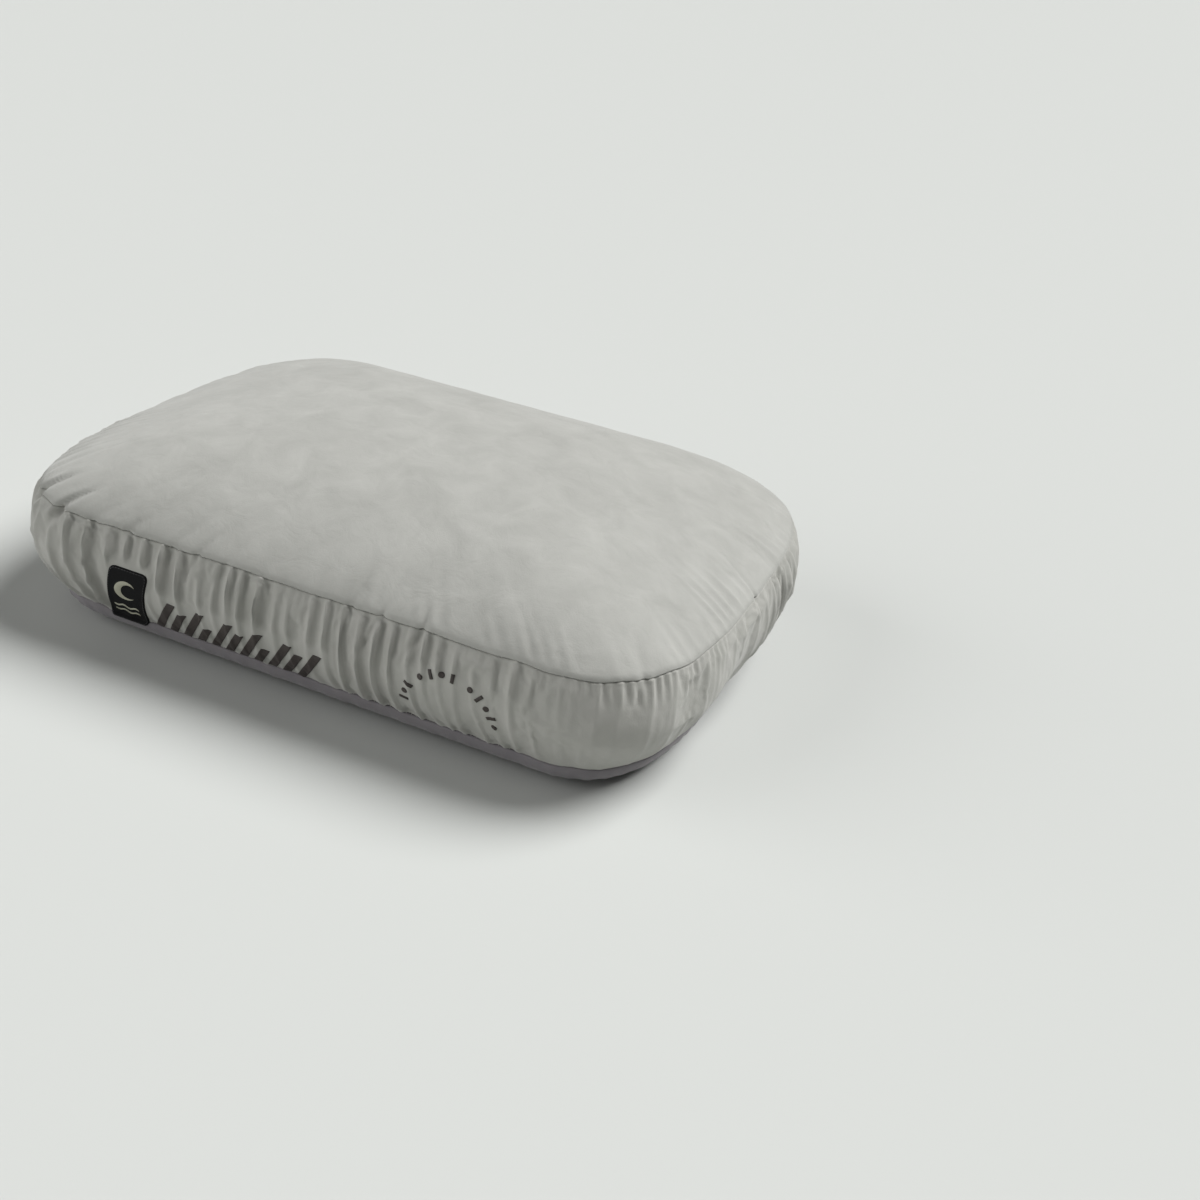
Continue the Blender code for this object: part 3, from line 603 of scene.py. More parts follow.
def pinch(below, seam_length):
    """How far the pinches push a point inwards. below is its way down from the seam, or up if negative."""
    inwards = 0
    for pinch_place, deep, width, fade in PINCHES:
        middle_length = np.interp(pinch_place, PLACES, LENGTHS)
        aside = (seam_length - middle_length + PINCH_SLANT * below) / width
        valley = (1 - 0.5 * aside ** 2) * np.exp(-aside ** 2 / 2)
        inwards = inwards + deep * valley * np.exp(-(below / fade) ** 2)
    return inwards


wall_pinch = pinch(DROP * WALL_HEIGHT, wall_length[None, :])
wall_points -= outward(PLACE) * wall_pinch[..., None]

# %% [markdown]
# ### Seam allowance
#
# Past a seam the cloth doesn't end: it turns into the pillow and runs on for some millimetres as the
# seam allowance. A few rows are added for that, so a panel's edge rolls over into the groove and no cut
# edge shows. The strip's two upright edges turn in as well, and run on behind the ends of the zip tapes.
# A Solidify modifier then gives the cloth its thickness, inwards.

# %% Tuck the edges in
ROLL_ANGLES = np.radians([30, 60, 90])
ALLOWANCE = 0.0040
EDGE_TURN = 0.0012          # how deep an upright edge turns in
UPRIGHT_ALLOWANCE = 0.0036  # and how far it then runs behind the tapes
BEHIND_TAPE_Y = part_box("zip_tape_upper")[0].y - 0.0005


def tucks(edge, place, up):
    """Rows that roll a panel's edge into the pillow, upwards where up is 1 and downwards where it is -1."""
    away = outward(place)
    steps = [(SEAM_ROLL * (1 - cos(a)), SEAM_ROLL * sin(a)) for a in ROLL_ANGLES]
    steps.append((ALLOWANCE, SEAM_ROLL * 0.9))
    return np.stack([edge - away * inwards + np.array([0, 0, up * rise]) for inwards, rise in steps])


def thicken(piece, thickness):
    """Gives a sheet its thickness on the inner side."""
    wall_modifier = piece.modifiers.new("thickness", "SOLIDIFY")
    wall_modifier.thickness = thickness
    wall_modifier.offset = -1
    return piece


def upright_tuck(edge, towards):
    """Columns that turn the strip's upright edge inwards, and then behind the end of the zip tapes."""
    turned = edge + np.array([0, -EDGE_TURN, 0])
    behind = edge.copy()
    behind[:, 1] = np.minimum(turned[:, 1], BEHIND_TAPE_Y)
    return np.stack([turned, behind, behind + np.array([towards * UPRIGHT_ALLOWANCE, 0, 0])], axis=1)


upper = tucks(wall_points[0], wall_place, 1)[::-1]
lower = tucks(wall_points[-1], wall_place, -1)
gusset_points = np.concatenate([upper, wall_points, lower])
gusset_points = np.concatenate([upright_tuck(gusset_points[:, 0], 1)[:, ::-1], gusset_points,
                                upright_tuck(gusset_points[:, -1], -1)], axis=1)
gusset_faces = grid_faces(*gusset_points.shape[:2])
gusset = make_piece("gathered_wall", gusset_points, gusset_faces, WALL_CLOTH)
thicken(gusset, COVER_THICKNESS)
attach(gusset, "cover")
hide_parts("front_gusset")

# %% [markdown]
# ## The domed top
#
# The top panel is one piece of the same cloth, pulled over the foam. It is smooth in the middle, and
# short puckers run in from the seam where the wall's gathers pull at it. Its grid is a square one that
# is bent to the outline, so there is no pole in the middle where faces would pinch.

# %% A square grid bent to the outline
TOP_HALF = 96
corner_lengths = np.interp([7.5, 9.5, 11.5, 13.5, 15.5], PLACES, LENGTHS)
grid = np.arange(-TOP_HALF, TOP_HALF + 1)
COLUMN, ROW = np.meshgrid(grid, grid)
REACH = np.maximum(np.abs(COLUMN), np.abs(ROW))
safe = np.maximum(REACH, 1)
side = np.select([-ROW == REACH, COLUMN == REACH, ROW == REACH], [0, 1, 2], 3)
share_along = np.select([side == 0, side == 1, side == 2], [COLUMN, ROW, -COLUMN], -ROW) / safe / 2 + 0.5
length_there = corner_lengths[side] + share_along * (corner_lengths[side + 1] - corner_lengths[side])
TOP_PLACE = np.interp(length_there, LENGTHS, PLACES)
RING = REACH / TOP_HALF
top_faces = grid_faces(*RING.shape)[:, ::-1]
print("top cloth:", RING.size, "points")

# %% Pucker the top and let it settle
PUCKER_PLACES = (7.5, 7.6, 8.45, 8.6, 8.95, 9.15, 9.5, 9.8, 10.2, 10.8, 11.3, 12.0, 14.0, 15.0, 15.2, 15.5)
PUCKER_SIZES = (1.5, .30, .35, .75, 1.0, .55, .30, .70, .95, .60, .40, .40, .40, .40, 1.7, 1.5)
PUCKER_REACH = 0.11
PUCKER_PITCH = 0.0105
PUCKER_SWAY, PUCKER_STEP = 2.4, 0.02
PUCKER_HEIGHT = 0.0013
CRUMPLE_CELLS = (0.030, 0.016)          # along and across the soft crumples of the top
FINE_CRUMPLE_CELLS = (0.019, 0.011)
CRUMPLE_HEIGHT = 0.00014
top_smooth = dome(TOP_PLACE, RING)
top_smooth[..., 2] += (top_seam(TOP_PLACE) + SEAM_ROLL) * RING ** 6
top_lift = lifts(top_smooth, top_faces).reshape(top_smooth.shape)
seam_share = np.interp(TOP_PLACE, PUCKER_PLACES, PUCKER_SIZES)
from_edge = 1 - RING
reach = PUCKER_REACH * (0.75 + 0.6 * noise(length_there / 0.012, 0 * RING, 21))
pucker_phase = 2 * pi * length_there / PUCKER_PITCH
pucker_phase = pucker_phase + PUCKER_SWAY * noise(length_there / PUCKER_STEP, from_edge * 3, 22)
pucker = creased(pucker_phase) * np.exp(-(from_edge / reach) ** 1.3)
pucker *= np.clip(0.5 + 0.9 * noise(length_there / 0.016, 0 * RING, 23), 0, 1.2)
far_x, far_y = top_smooth[..., 0], top_smooth[..., 1]
crumple = noise(far_x / CRUMPLE_CELLS[0], far_y / CRUMPLE_CELLS[1], 24)
crumple = crumple + 0.6 * noise(far_y / FINE_CRUMPLE_CELLS[1], far_x / FINE_CRUMPLE_CELLS[0], 25)
top_height = PUCKER_HEIGHT * seam_share * pucker + CRUMPLE_HEIGHT * crumple
top_height *= 1 - RING ** 60
top_start = top_smooth + top_lift * top_height[..., None]
top_held = np.flatnonzero(REACH.ravel() == TOP_HALF)
top_points = settle("domed_top", top_start, top_smooth, top_lift, top_faces, top_held,
                    pressure=0.4, grow=0.0, frames=10, most=0.003)
top_pinch = pinch(-from_edge * HALF_WIDTH, length_there)
top_points -= (outward(TOP_PLACE) * top_pinch[..., None]).reshape(-1, 3)

# %% Sew on the top
rim = np.concatenate([np.flatnonzero((side == k).ravel() & (REACH == TOP_HALF).ravel()) for k in range(4)])
rim = rim[np.argsort(length_there.ravel()[rim] % ROUND)]
rim_points = top_points[rim]
rim_tuck = tucks(rim_points, TOP_PLACE.ravel()[rim], -1)
tuck_index = len(top_points) + np.arange(rim_tuck.shape[0] * len(rim)).reshape(rim_tuck.shape[0], len(rim))
rings = np.concatenate([rim[None, :], tuck_index])
loops = np.concatenate([rings, rings[:, :1]], axis=1)
skirt = np.stack([c.ravel() for c in (loops[:-1, :-1], loops[1:, :-1], loops[1:, 1:], loops[:-1, 1:])], 1)
top = make_piece("domed_top", np.concatenate([top_points, rim_tuck.reshape(-1, 3)]),
                 np.concatenate([top_faces, skirt]), COVER_CLOTH)
thicken(top, COVER_THICKNESS)
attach(top, "cover")
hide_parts("top_panel")

# %% [markdown]
# ## The underside
#
# The bottom panel is a plainer, slightly purple grey cloth. It curls up at its edge to meet the wall and
# lies flat on the ground everywhere else, because the pillow's weight presses it down. It is drawn in
# rings, and the middle is closed with a fan of triangles.

# %% Make the underside
BOTTOM_COLUMNS = 720
CURL_ROWS = 14
FLAT_ROWS = 12
RIPPLE_DEPTH = 0.0004
bottom_place = np.interp(np.linspace(0, ROUND, BOTTOM_COLUMNS + 1)[:-1], LENGTHS, PLACES)
curl = np.stack([wall(bottom_place, 1 + k / CURL_ROWS) for k in range(CURL_ROWS + 1)])
curl_share = 1 - np.linspace(0, 1, CURL_ROWS + 1)[:, None]
curl[..., 2] += bottom_seam(bottom_place)[None, :] * curl_share ** 2 - SEAM_ROLL * curl_share
ripple = wander(bottom_place, (60, 150), 31)[None, :] * curl_share * (1 - curl_share) * 4
curl -= outward(bottom_place)[None] * (RIPPLE_DEPTH * ripple)[..., None]
rings_in = np.linspace(1, 0, FLAT_ROWS + 1)[1:-1, None, None]
flat = curl[-1][None] * rings_in + np.array([0, MIDDLE_Y, 0]) * (1 - rings_in)
into = tucks(curl[0], bottom_place, 1)[::-1]
bottom_rows = np.concatenate([into, curl, flat])
bottom_faces = grid_faces(*bottom_rows.shape[:2], closed=True)
middle = bottom_rows.shape[0] * BOTTOM_COLUMNS
last = middle - BOTTOM_COLUMNS + np.arange(BOTTOM_COLUMNS)
fan = [[int(a), middle, int(b)] for a, b in zip(last, np.roll(last, -1))]
bottom_points = np.concatenate([bottom_rows.reshape(-1, 3), [[0, MIDDLE_Y, 0]]])
bottom = make_piece("underside", bottom_points, [*bottom_faces.tolist(), *fan], UNDERSIDE_CLOTH)
thicken(bottom, COVER_THICKNESS)
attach(bottom, "cover")
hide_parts("bottom_panel")

# %% [markdown]
# ## Laying things on the cloth
#
# The patch and the printed marks sit on cloth that has folds in it. To lay a point on it, a ray is shot
# at the finished cloth from just outside, and the point is put a little in front of where it lands.
# Marks are placed the way a printer would: so many millimetres along the front and so many down it.

# %% Finding the cloth under a point
front_points = np.concatenate([gusset_points.reshape(-1, 3), bottom_points])
front_faces = [*gusset_faces.tolist(),
               *(bottom_faces + gusset_points[..., 0].size).tolist()]
CLOTH = BVHTree.FromPolygons([Vector(p) for p in front_points], front_faces)
DOWN_DROPS = np.linspace(0, 2, 401)
down_line = wall(8.5 + 0 * DOWN_DROPS, DOWN_DROPS)
DOWN_LENGTHS = np.concatenate([[0], np.cumsum(np.linalg.norm(np.diff(down_line, axis=0), axis=1))])
RAY_START = 0.012
SLOPE_STEP = 0.03           # of a drop, to measure the wall's slope with


def front_place(x):
    """The place of a point this far along the front from its middle."""
    return FULL_LOOP + (np.asarray(x) + RUN_X) / (2 * RUN_X)


def smooth_front(x, down):
    """Point and outward normal of the unfolded front, x along it and down the cloth from the top seam."""
    place, drop = front_place(x), np.interp(down, DOWN_LENGTHS, DOWN_DROPS)
    point = wall(place, drop)
    slope = wall(place, drop + SLOPE_STEP) - wall(place, np.maximum(drop - SLOPE_STEP, 0))
    normal = np.cross(slope, np.array([1.0, 0, 0]))
    return point, normal / np.linalg.norm(normal, axis=-1, keepdims=True)


def cloth_height(point, normal):
    """How far the real cloth stands in front of the unfolded one at each point."""
    heights = []
    for p, n in zip(point.reshape(-1, 3), normal.reshape(-1, 3)):
        spot = CLOTH.ray_cast(Vector(p + n * RAY_START), Vector(-n), 2 * RAY_START)[3]
        heights.append(RAY_START - spot if spot is not None else 0.0)
    return np.array(heights).reshape(point.shape[:-1])


def laid(x, down, proud):
    """Points on the folded cloth, proud of it."""
    point, normal = smooth_front(x, down)
    return point + normal * (cloth_height(point, normal) + proud)[..., None]


# %% [markdown]
# ## Patch
#
# A close-woven black patch with rounded corners is sewn on at the left, leaning a little, and its foot
# wraps under the bottom seam. It is stiffer than the cover, so it bridges the folds: its height is the
# highest cloth near each point, smoothed. A pale crescent and two waves are embroidered on it, as a
# general sign for a night outdoors.

# %% Patch and embroidery finishes
BAND_SPACING = 0.314        # a wave texture of scale 1 has its bands this far apart


def woven(name, colour, second, thread_mm, depth, roughness, **sockets):
    """A weave, flecked with a second colour. Its threads follow the piece's own UV map, in metres."""
    material, tree, shader = finish(name, colour, roughness, **sockets)
    where = add(tree, "ShaderNodeUVMap", uv_map="cloth").outputs["UV"]
    scale = BAND_SPACING / (thread_mm * MILLIMETRE)
    warp, weft = (add(tree, "ShaderNodeTexWave", {"Vector": where, "Scale": scale}, bands_direction=axis)
                  for axis in "XY")
    cross = add(tree, "ShaderNodeMath", {0: warp.outputs["Fac"], 1: weft.outputs["Fac"]},
                operation="MULTIPLY")
    speck = add(tree, "ShaderNodeTexNoise", {"Vector": where, "Scale": 1500.0, "Detail": 2.0})
    mix = add(tree, "ShaderNodeMix", {0: speck.outputs["Fac"], 6: linear(second), 7: linear(colour)},
              data_type="RGBA")
    tree.links.new(mix.outputs[2], shader.inputs["Base Color"])
    bump = add(tree, "ShaderNodeBump", {"Height": cross.outputs["Value"], "Strength": 0.8,
                                        "Distance": depth})
    tree.links.new(bump.outputs["Normal"], shader.inputs["Normal"])
    return material


PATCH_CLOTH = woven("black_woven_patch", "#060608", "#020203", 0.45, 0.0001, 0.85,
                    Specular_IOR_Level=0.25)
PALE_THREAD = woven("rayon_embroidery_thread", "#b5b4a2", "#9b9a88", 0.4, 0.0001, 0.45)


def give_uv(piece, coordinates):
    """Writes the piece's own map, in metres, from one coordinate per point."""
    layer = piece.data.uv_layers.new(name="cloth")
    corners = np.empty(len(piece.data.loops), np.int32)
    piece.data.loops.foreach_get("vertex_index", corners)
    layer.data.foreach_set("uv", np.asarray(coordinates, np.float32).reshape(-1, 2)[corners].ravel())


# %% Make the patch
PATCH_CORNER = 0.0045
PATCH_PROUD = 0.0006
PATCH_THICKNESS = 0.0004
EDGE_SUNK = 0.0002          # the patch's edge is pressed into the cloth by its stitches
BRIDGE_ROOM = 0.0001        # least room between the patch and the cloth under it
PATCH_TOP_DOWN = np.interp(PATCH_TOP_DROP, DOWN_DROPS, DOWN_LENGTHS)


def patch_spot(across, down):
    """x and length down the cloth, from millimetres across and down the patch."""
    return PATCH_TOP_X + across - PATCH_LEAN * down / PATCH_HEIGHT, PATCH_TOP_DOWN + down


patch_down = np.linspace(0, PATCH_HEIGHT, 57)
to_end = np.minimum(patch_down, PATCH_HEIGHT - patch_down)
into_corner = np.clip(PATCH_CORNER - to_end, 0, None)
turn_in = PATCH_CORNER - np.sqrt(np.clip(PATCH_CORNER ** 2 - into_corner ** 2, 0, None))
half_widths = PATCH_WIDTH / 2 - turn_in
patch_across = np.linspace(-1, 1, 33)[None, :] * half_widths[:, None]
patch_depth = patch_down[:, None] + 0 * patch_across
patch_point, patch_normal = smooth_front(*patch_spot(patch_across, patch_depth))
under = cloth_height(patch_point, patch_normal)


def spread(values, reach, pick):
    """Each value becomes pick(its neighbourhood)."""
    padded_values = np.pad(values, reach, mode="edge")
    span = 2 * reach + 1
    shifted = [padded_values[i:i + values.shape[0], j:j + values.shape[1]]
               for i in range(span) for j in range(span)]
    return pick(np.stack(shifted), axis=0)


bridged = spread(spread(under, 2, np.max), 3, np.mean)
bridged = np.maximum(bridged, under + BRIDGE_ROOM)
inside = np.zeros_like(bridged)
inside[1:-1, 1:-1] = 1
patch_rise = bridged * inside + (under - EDGE_SUNK) * (1 - inside) + PATCH_PROUD * inside
patch_points = patch_point + patch_normal * patch_rise[..., None]
patch = make_piece("woven_patch", patch_points, grid_faces(*patch_across.shape), PATCH_CLOTH)
give_uv(patch, np.stack([patch_across, patch_depth], -1))
thicken(patch, PATCH_THICKNESS)
PATCH_SURFACE = BVHTree.FromPolygons([Vector(p) for p in patch_points.reshape(-1, 3)],
                                     grid_faces(*patch_across.shape).tolist())


def on_patch(across, down, proud):
    """Points on the patch's face, proud of it."""
    point, normal = smooth_front(*patch_spot(across, down))
    out = []
    for p, n in zip(point.reshape(-1, 3), normal.reshape(-1, 3)):
        spot = PATCH_SURFACE.ray_cast(Vector(p + n * RAY_START), Vector(-n), 2 * RAY_START)[3]
        out.append(p + n * (RAY_START - (spot or RAY_START) + proud))
    return np.array(out).reshape(point.shape)


# %% Embroider the crescent and the waves
THREAD_RISE = 0.0004
THREAD_PROUD = 0.0001
MOON_RADIUS = 0.0078
MOON_HALF_WIDTH = 0.0024
MOON_DOWN = 0.0165
WAVE_DOWNS = (0.0325, 0.0385)
WAVE_HALF_LENGTH = 0.0090
WAVE_HALF_WIDTH = 0.0009
WAVE_HEIGHT = 0.0011
WAVE_TIP = 0.001            # length over which a wave's end narrows
swing = np.radians(np.linspace(35, 325, 61))[None, :]
fullness = np.sin((swing - swing.min()) / np.ptp(swing) * pi)
bead = np.linspace(-1, 1, 9)[:, None]
moon_reach = MOON_RADIUS - MOON_HALF_WIDTH * fullness + bead * MOON_HALF_WIDTH * fullness
moon_across, moon_down = moon_reach * np.cos(swing), MOON_DOWN + moon_reach * np.sin(swing)
line = np.linspace(-WAVE_HALF_LENGTH, WAVE_HALF_LENGTH, 61)[None, :]
width = WAVE_HALF_WIDTH * np.clip((WAVE_HALF_LENGTH - np.abs(line)) / WAVE_TIP, 0, 1) ** 0.5
wave = WAVE_HEIGHT * np.sin(line / WAVE_HALF_LENGTH * 2 * pi)
shapes = [(moon_across, moon_down, (1 - bead ** 2) * fullness)]
for wave_down in WAVE_DOWNS:
    shapes.append((line + 0 * bead, wave_down + wave + bead * width, (1 - bead ** 2) + 0 * line))
sewn_points, sewn_faces, sewn_uv = [], [], []
for across, down, rise in shapes:
    first = sum(p.shape[0] * p.shape[1] for p in sewn_points)
    sewn_normal = smooth_front(*patch_spot(across, down))[1]
    sewn_rise = (THREAD_RISE * rise + THREAD_PROUD)[..., None]
    sewn_points.append(on_patch(across, down, 0.0) + sewn_normal * sewn_rise)
    sewn_faces.append(grid_faces(*across.shape) + first)
    sewn_uv.append(np.stack([across, down], -1).reshape(-1, 2))
embroidery = make_piece("patch_embroidery", np.concatenate([p.reshape(-1, 3) for p in sewn_points]),
                        np.concatenate(sewn_faces), PALE_THREAD)
give_uv(embroidery, np.concatenate(sewn_uv))
for piece in (patch, embroidery):
    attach(piece, "cover")
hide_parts("label_patch")

# %% [markdown]
# ## Printed marks
#
# The front carries two screen prints in a dark brown grey ink: a band of slanted bars beside the patch,
# and a small arc of dashes and dots further right. Ink has almost no thickness, so each mark is a thin
# sheet laid on the folds, and every bar has enough points to follow them.

# %% Ink
INK = grained("screen_print_ink", "#37302d", "#2b2624", "#453d39", 0.62, "Noise",
              {"Scale": 900.0, "Detail": 4.0}, strength=0.3, depth=0.0002)

# %% Print the band of bars
INK_PROUD = 0.00036
INK_THICKNESS = 0.0003
BAND_START = -0.1030
BAND_BOTTOM = np.interp(0.985, DOWN_DROPS, DOWN_LENGTHS)
BAND_HEIGHT = 0.0295
BAND_LEAN = 0.0185
BAR_WIDTH = 0.0057
BAR_PITCH = 0.0098
BAR_POINTS = 44             # down a full bar
BAR_HEIGHTS = (1, .8, 1, .6, 1, .8, 1, .6, 1, .8, 1)

ink_points, ink_faces = [], []


def print_mark(x, down):
    """Adds one thin sheet of ink."""
    first = sum(p.shape[0] * p.shape[1] for p in ink_points)
    ink_points.append(laid(x, down, INK_PROUD))
    ink_faces.append(grid_faces(*x.shape) + first)


for k, tall in enumerate(BAR_HEIGHTS):
    up, across = np.meshgrid(np.linspace(tall, 0, int(BAR_POINTS * tall)), np.linspace(0, BAR_WIDTH, 9),
                             indexing="ij")
    print_mark(BAND_START + k * BAR_PITCH + across + BAND_LEAN * up, BAND_BOTTOM - BAND_HEIGHT * up)

# %% Print the arc
ARC_X = 0.0970
ARC_DOWN = np.interp(0.735, DOWN_DROPS, DOWN_LENGTHS)
ARC_RADIUS = 0.0275
ARC_ANGLES = (176, 162, 148, 126, 112, 98, 84, 61, 47, 33, 19, 5)
DASH_LENGTH = 0.0056
DASH_WIDTH = 0.0021
DOT_RADIUS = 0.0018
for k, angle in enumerate(np.radians(ARC_ANGLES)):
    if k % 2:
        reach, around = np.meshgrid(np.linspace(1, 0.01, 4), np.linspace(0, 2 * pi, 17), indexing="ij")
        x = ARC_X + ARC_RADIUS * cos(angle) + DOT_RADIUS * reach * np.cos(around)
        down = ARC_DOWN - ARC_RADIUS * sin(angle) - DOT_RADIUS * reach * np.sin(around)
        print_mark(x[:, ::-1], down[:, ::-1])
    else:
        away, beside = np.meshgrid(np.linspace(DASH_LENGTH, 0, 7) - DASH_LENGTH / 2,
                                   np.linspace(-DASH_WIDTH, DASH_WIDTH, 4) / 2, indexing="ij")
        reach = ARC_RADIUS + away
        x = ARC_X + reach * cos(angle) + beside * sin(angle)
        print_mark(x, ARC_DOWN - reach * sin(angle) + beside * cos(angle))
marks = make_piece("front_print", np.concatenate([p.reshape(-1, 3) for p in ink_points]),
                   np.concatenate(ink_faces), INK)
thicken(marks, INK_THICKNESS)
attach(marks, "cover")
print("printed marks:", len(ink_points))

# %% [markdown]
# ## The back: two strips and a zip
#
# Behind, the wall is split into an upper and a lower strip, and the zip lies in the opening between
# them. Each strip's edge is folded back and topstitched to the zip tape. The strips are sewn flat, so
# they have only slight puckers along the stitching.

# %% Sew the two strips
BACK_SEAM_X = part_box("zip_strip_upper")[1].x + 0.0002
WINDOW_TOP = (TOP_SEAM_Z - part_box("zip_strip_upper")[0].z) / WALL_HEIGHT
WINDOW_BOTTOM = (TOP_SEAM_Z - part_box("zip_strip_lower")[1].z) / WALL_HEIGHT
STRIP_COLUMNS = 220
STRIP_CELL = 0.0012
STRIP_THICKNESS = 0.0006
STRIP_RIPPLES = ((0.00030, 0.009, 3, 41), (0.00045, 0.024, 2, 42))    # depth, length, number down, seed
RIPPLE_CALM = 0.12          # of a drop, beside the opening for the zip
RIPPLE_START = 0.004        # below the seam
HEM = ((0.0008, 0.0), (0.0012, 0.0008), (0.0013, 0.0040))     # in, and back from the folded edge


def back_place(x):
    """The place of a point this far along the back from its middle."""
    return 4 + (RUN_X - np.asarray(x)) / (2 * RUN_X)


def back_cloth(x, drop):
    """Points on the puckered back."""
    place = back_place(x)
    points = wall(place, drop)
    follow_top, follow_bottom = np.clip(1 - drop, 0, 1) ** 3, np.clip(drop, 0, 1) ** 3
    points[..., 2] += top_seam(place) * follow_top + bottom_seam(place) * follow_bottom
    ripples = sum(noise(x / length, drop * down, seed) * deep for deep, length, down, seed in STRIP_RIPPLES)
    to_window = np.minimum(np.abs(drop - WINDOW_TOP), np.abs(drop - WINDOW_BOTTOM))
    calm = np.clip(to_window / RIPPLE_CALM, 0.25, 1)
    to_seam = np.minimum(drop, 1 - drop) * WALL_HEIGHT
    points[..., 1] += ripples * calm * np.clip(to_seam / RIPPLE_START, 0, 1)
    return points


def strip(name, first, last, window_first, node):
    """One strip from drop first to drop last; its window edge is folded back. Returns its points."""
    rows = int(abs(last - first) * WALL_HEIGHT / STRIP_CELL)
    drop, x = np.meshgrid(np.linspace(first, last, rows),
                          np.linspace(BACK_SEAM_X, -BACK_SEAM_X, STRIP_COLUMNS), indexing="ij")
    cloth = back_cloth(x, drop)
    edge_row, sign = (cloth[0], -1) if window_first else (cloth[-1], 1)
    hem = np.stack([edge_row + np.array([0, -inwards, sign * back]) for inwards, back in HEM])
    place = back_place(x[0])
    if window_first:
        cloth = np.concatenate([hem[::-1], cloth, tucks(cloth[-1], place, -1)])
    else:
        cloth = np.concatenate([tucks(cloth[0], place, 1)[::-1], cloth, hem])
    piece = make_piece(name, cloth, grid_faces(*cloth.shape[:2]), WALL_CLOTH)
    thicken(piece, STRIP_THICKNESS)
    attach(piece, "cover")
    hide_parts(node)
    return cloth


upper_cloth = strip("upper_back_strip", SEAM_ROLL / WALL_HEIGHT, WINDOW_TOP, False, "zip_strip_upper")
lower_cloth = strip("lower_back_strip", WINDOW_BOTTOM, 1 - SEAM_ROLL / WALL_HEIGHT, True,
                    "zip_strip_lower")
print("zip window:", round(1000 * WALL_HEIGHT * (WINDOW_BOTTOM - WINDOW_TOP), 1), "mm")

# %% [markdown]
# ## Stitches and coils
#
# A seam is hundreds of equal stitches, and a coil zip is two long springs of nylon. Both are work for
# Geometry Nodes: one stitch is modelled once, and the tree sets a copy at every step along a path. The
# path is a line of edges whose points also carry the direction that faces out of the cloth, so each
# stitch lies on it the right way up.

# %% Trees and paths
def new_tree(name, **sizes):
    """A Geometry Nodes tree with named sizes. Returns it with its input and output nodes."""
    tree = bpy.data.node_groups.new(name, "GeometryNodeTree")
    tree.interface.new_socket("Geometry", in_out="INPUT", socket_type="NodeSocketGeometry")
    tree.interface.new_socket("Geometry", in_out="OUTPUT", socket_type="NodeSocketGeometry")
    for size, value in sizes.items():
        socket = tree.interface.new_socket(size.replace("_", " "), in_out="INPUT",
                                           socket_type="NodeSocketFloat")
        socket.default_value = value
    return tree, tree.nodes.new("NodeGroupInput"), tree.nodes.new("NodeGroupOutput")


def path(name, points, away, closed=False):
    """A line of edges whose points know which way is out."""
    count = len(points)
    edges = [(i, (i + 1) % count) for i in range(count if closed else count - 1)]
    mesh = bpy.data.meshes.new(name)
    mesh.from_pydata(np.asarray(points).tolist(), edges, [])
    outwards = mesh.attributes.new("out", "FLOAT_VECTOR", "POINT")
    outwards.data.foreach_set("vector", np.asarray(away, np.float32).ravel())
    line_object = bpy.data.objects.new(name, mesh)
    bpy.context.collection.objects.link(line_object)
    return line_object


def grown(name, start, tree, **sizes):
    """Runs a tree on an object with these sizes, and returns the result as a plain mesh object."""
    modifier = start.modifiers.new("grow", "NODES")
    modifier.node_group = tree
    for item in tree.interface.items_tree:
        size = item.name.replace(" ", "_")
        if item.in_out == "INPUT" and size in sizes:
            modifier[item.identifier] = float(sizes[size])
    graph = bpy.context.evaluated_depsgraph_get()
    mesh = bpy.data.meshes.new_from_object(start.evaluated_get(graph), preserve_all_data_layers=False,
                                           depsgraph=graph)
    bpy.data.objects.remove(start)
    mesh.name = name
    piece = bpy.data.objects.new(name, mesh)
    bpy.context.collection.objects.link(piece)
    print(name, "has", len(mesh.polygons), "faces")
    return piece


def joined(name, *parts):
    """Several plain meshes as one piece."""
    with bpy.context.temp_override(active_object=parts[0], selected_editable_objects=list(parts)):
        bpy.ops.object.join()
    parts[0].name = name
    parts[0].data.name = name
    return parts[0]


# %% The stitch tree
TWIST = {"Scale": 900.0, "Distortion": 1.0}
SEWING_THREAD = grained("spun_polyester_thread", "#a3a39c", "#8d8d86", "#adada6", 0.7, "Wave", TWIST,
                        strength=0.6, depth=0.0001, Sheen_Weight=0.2)


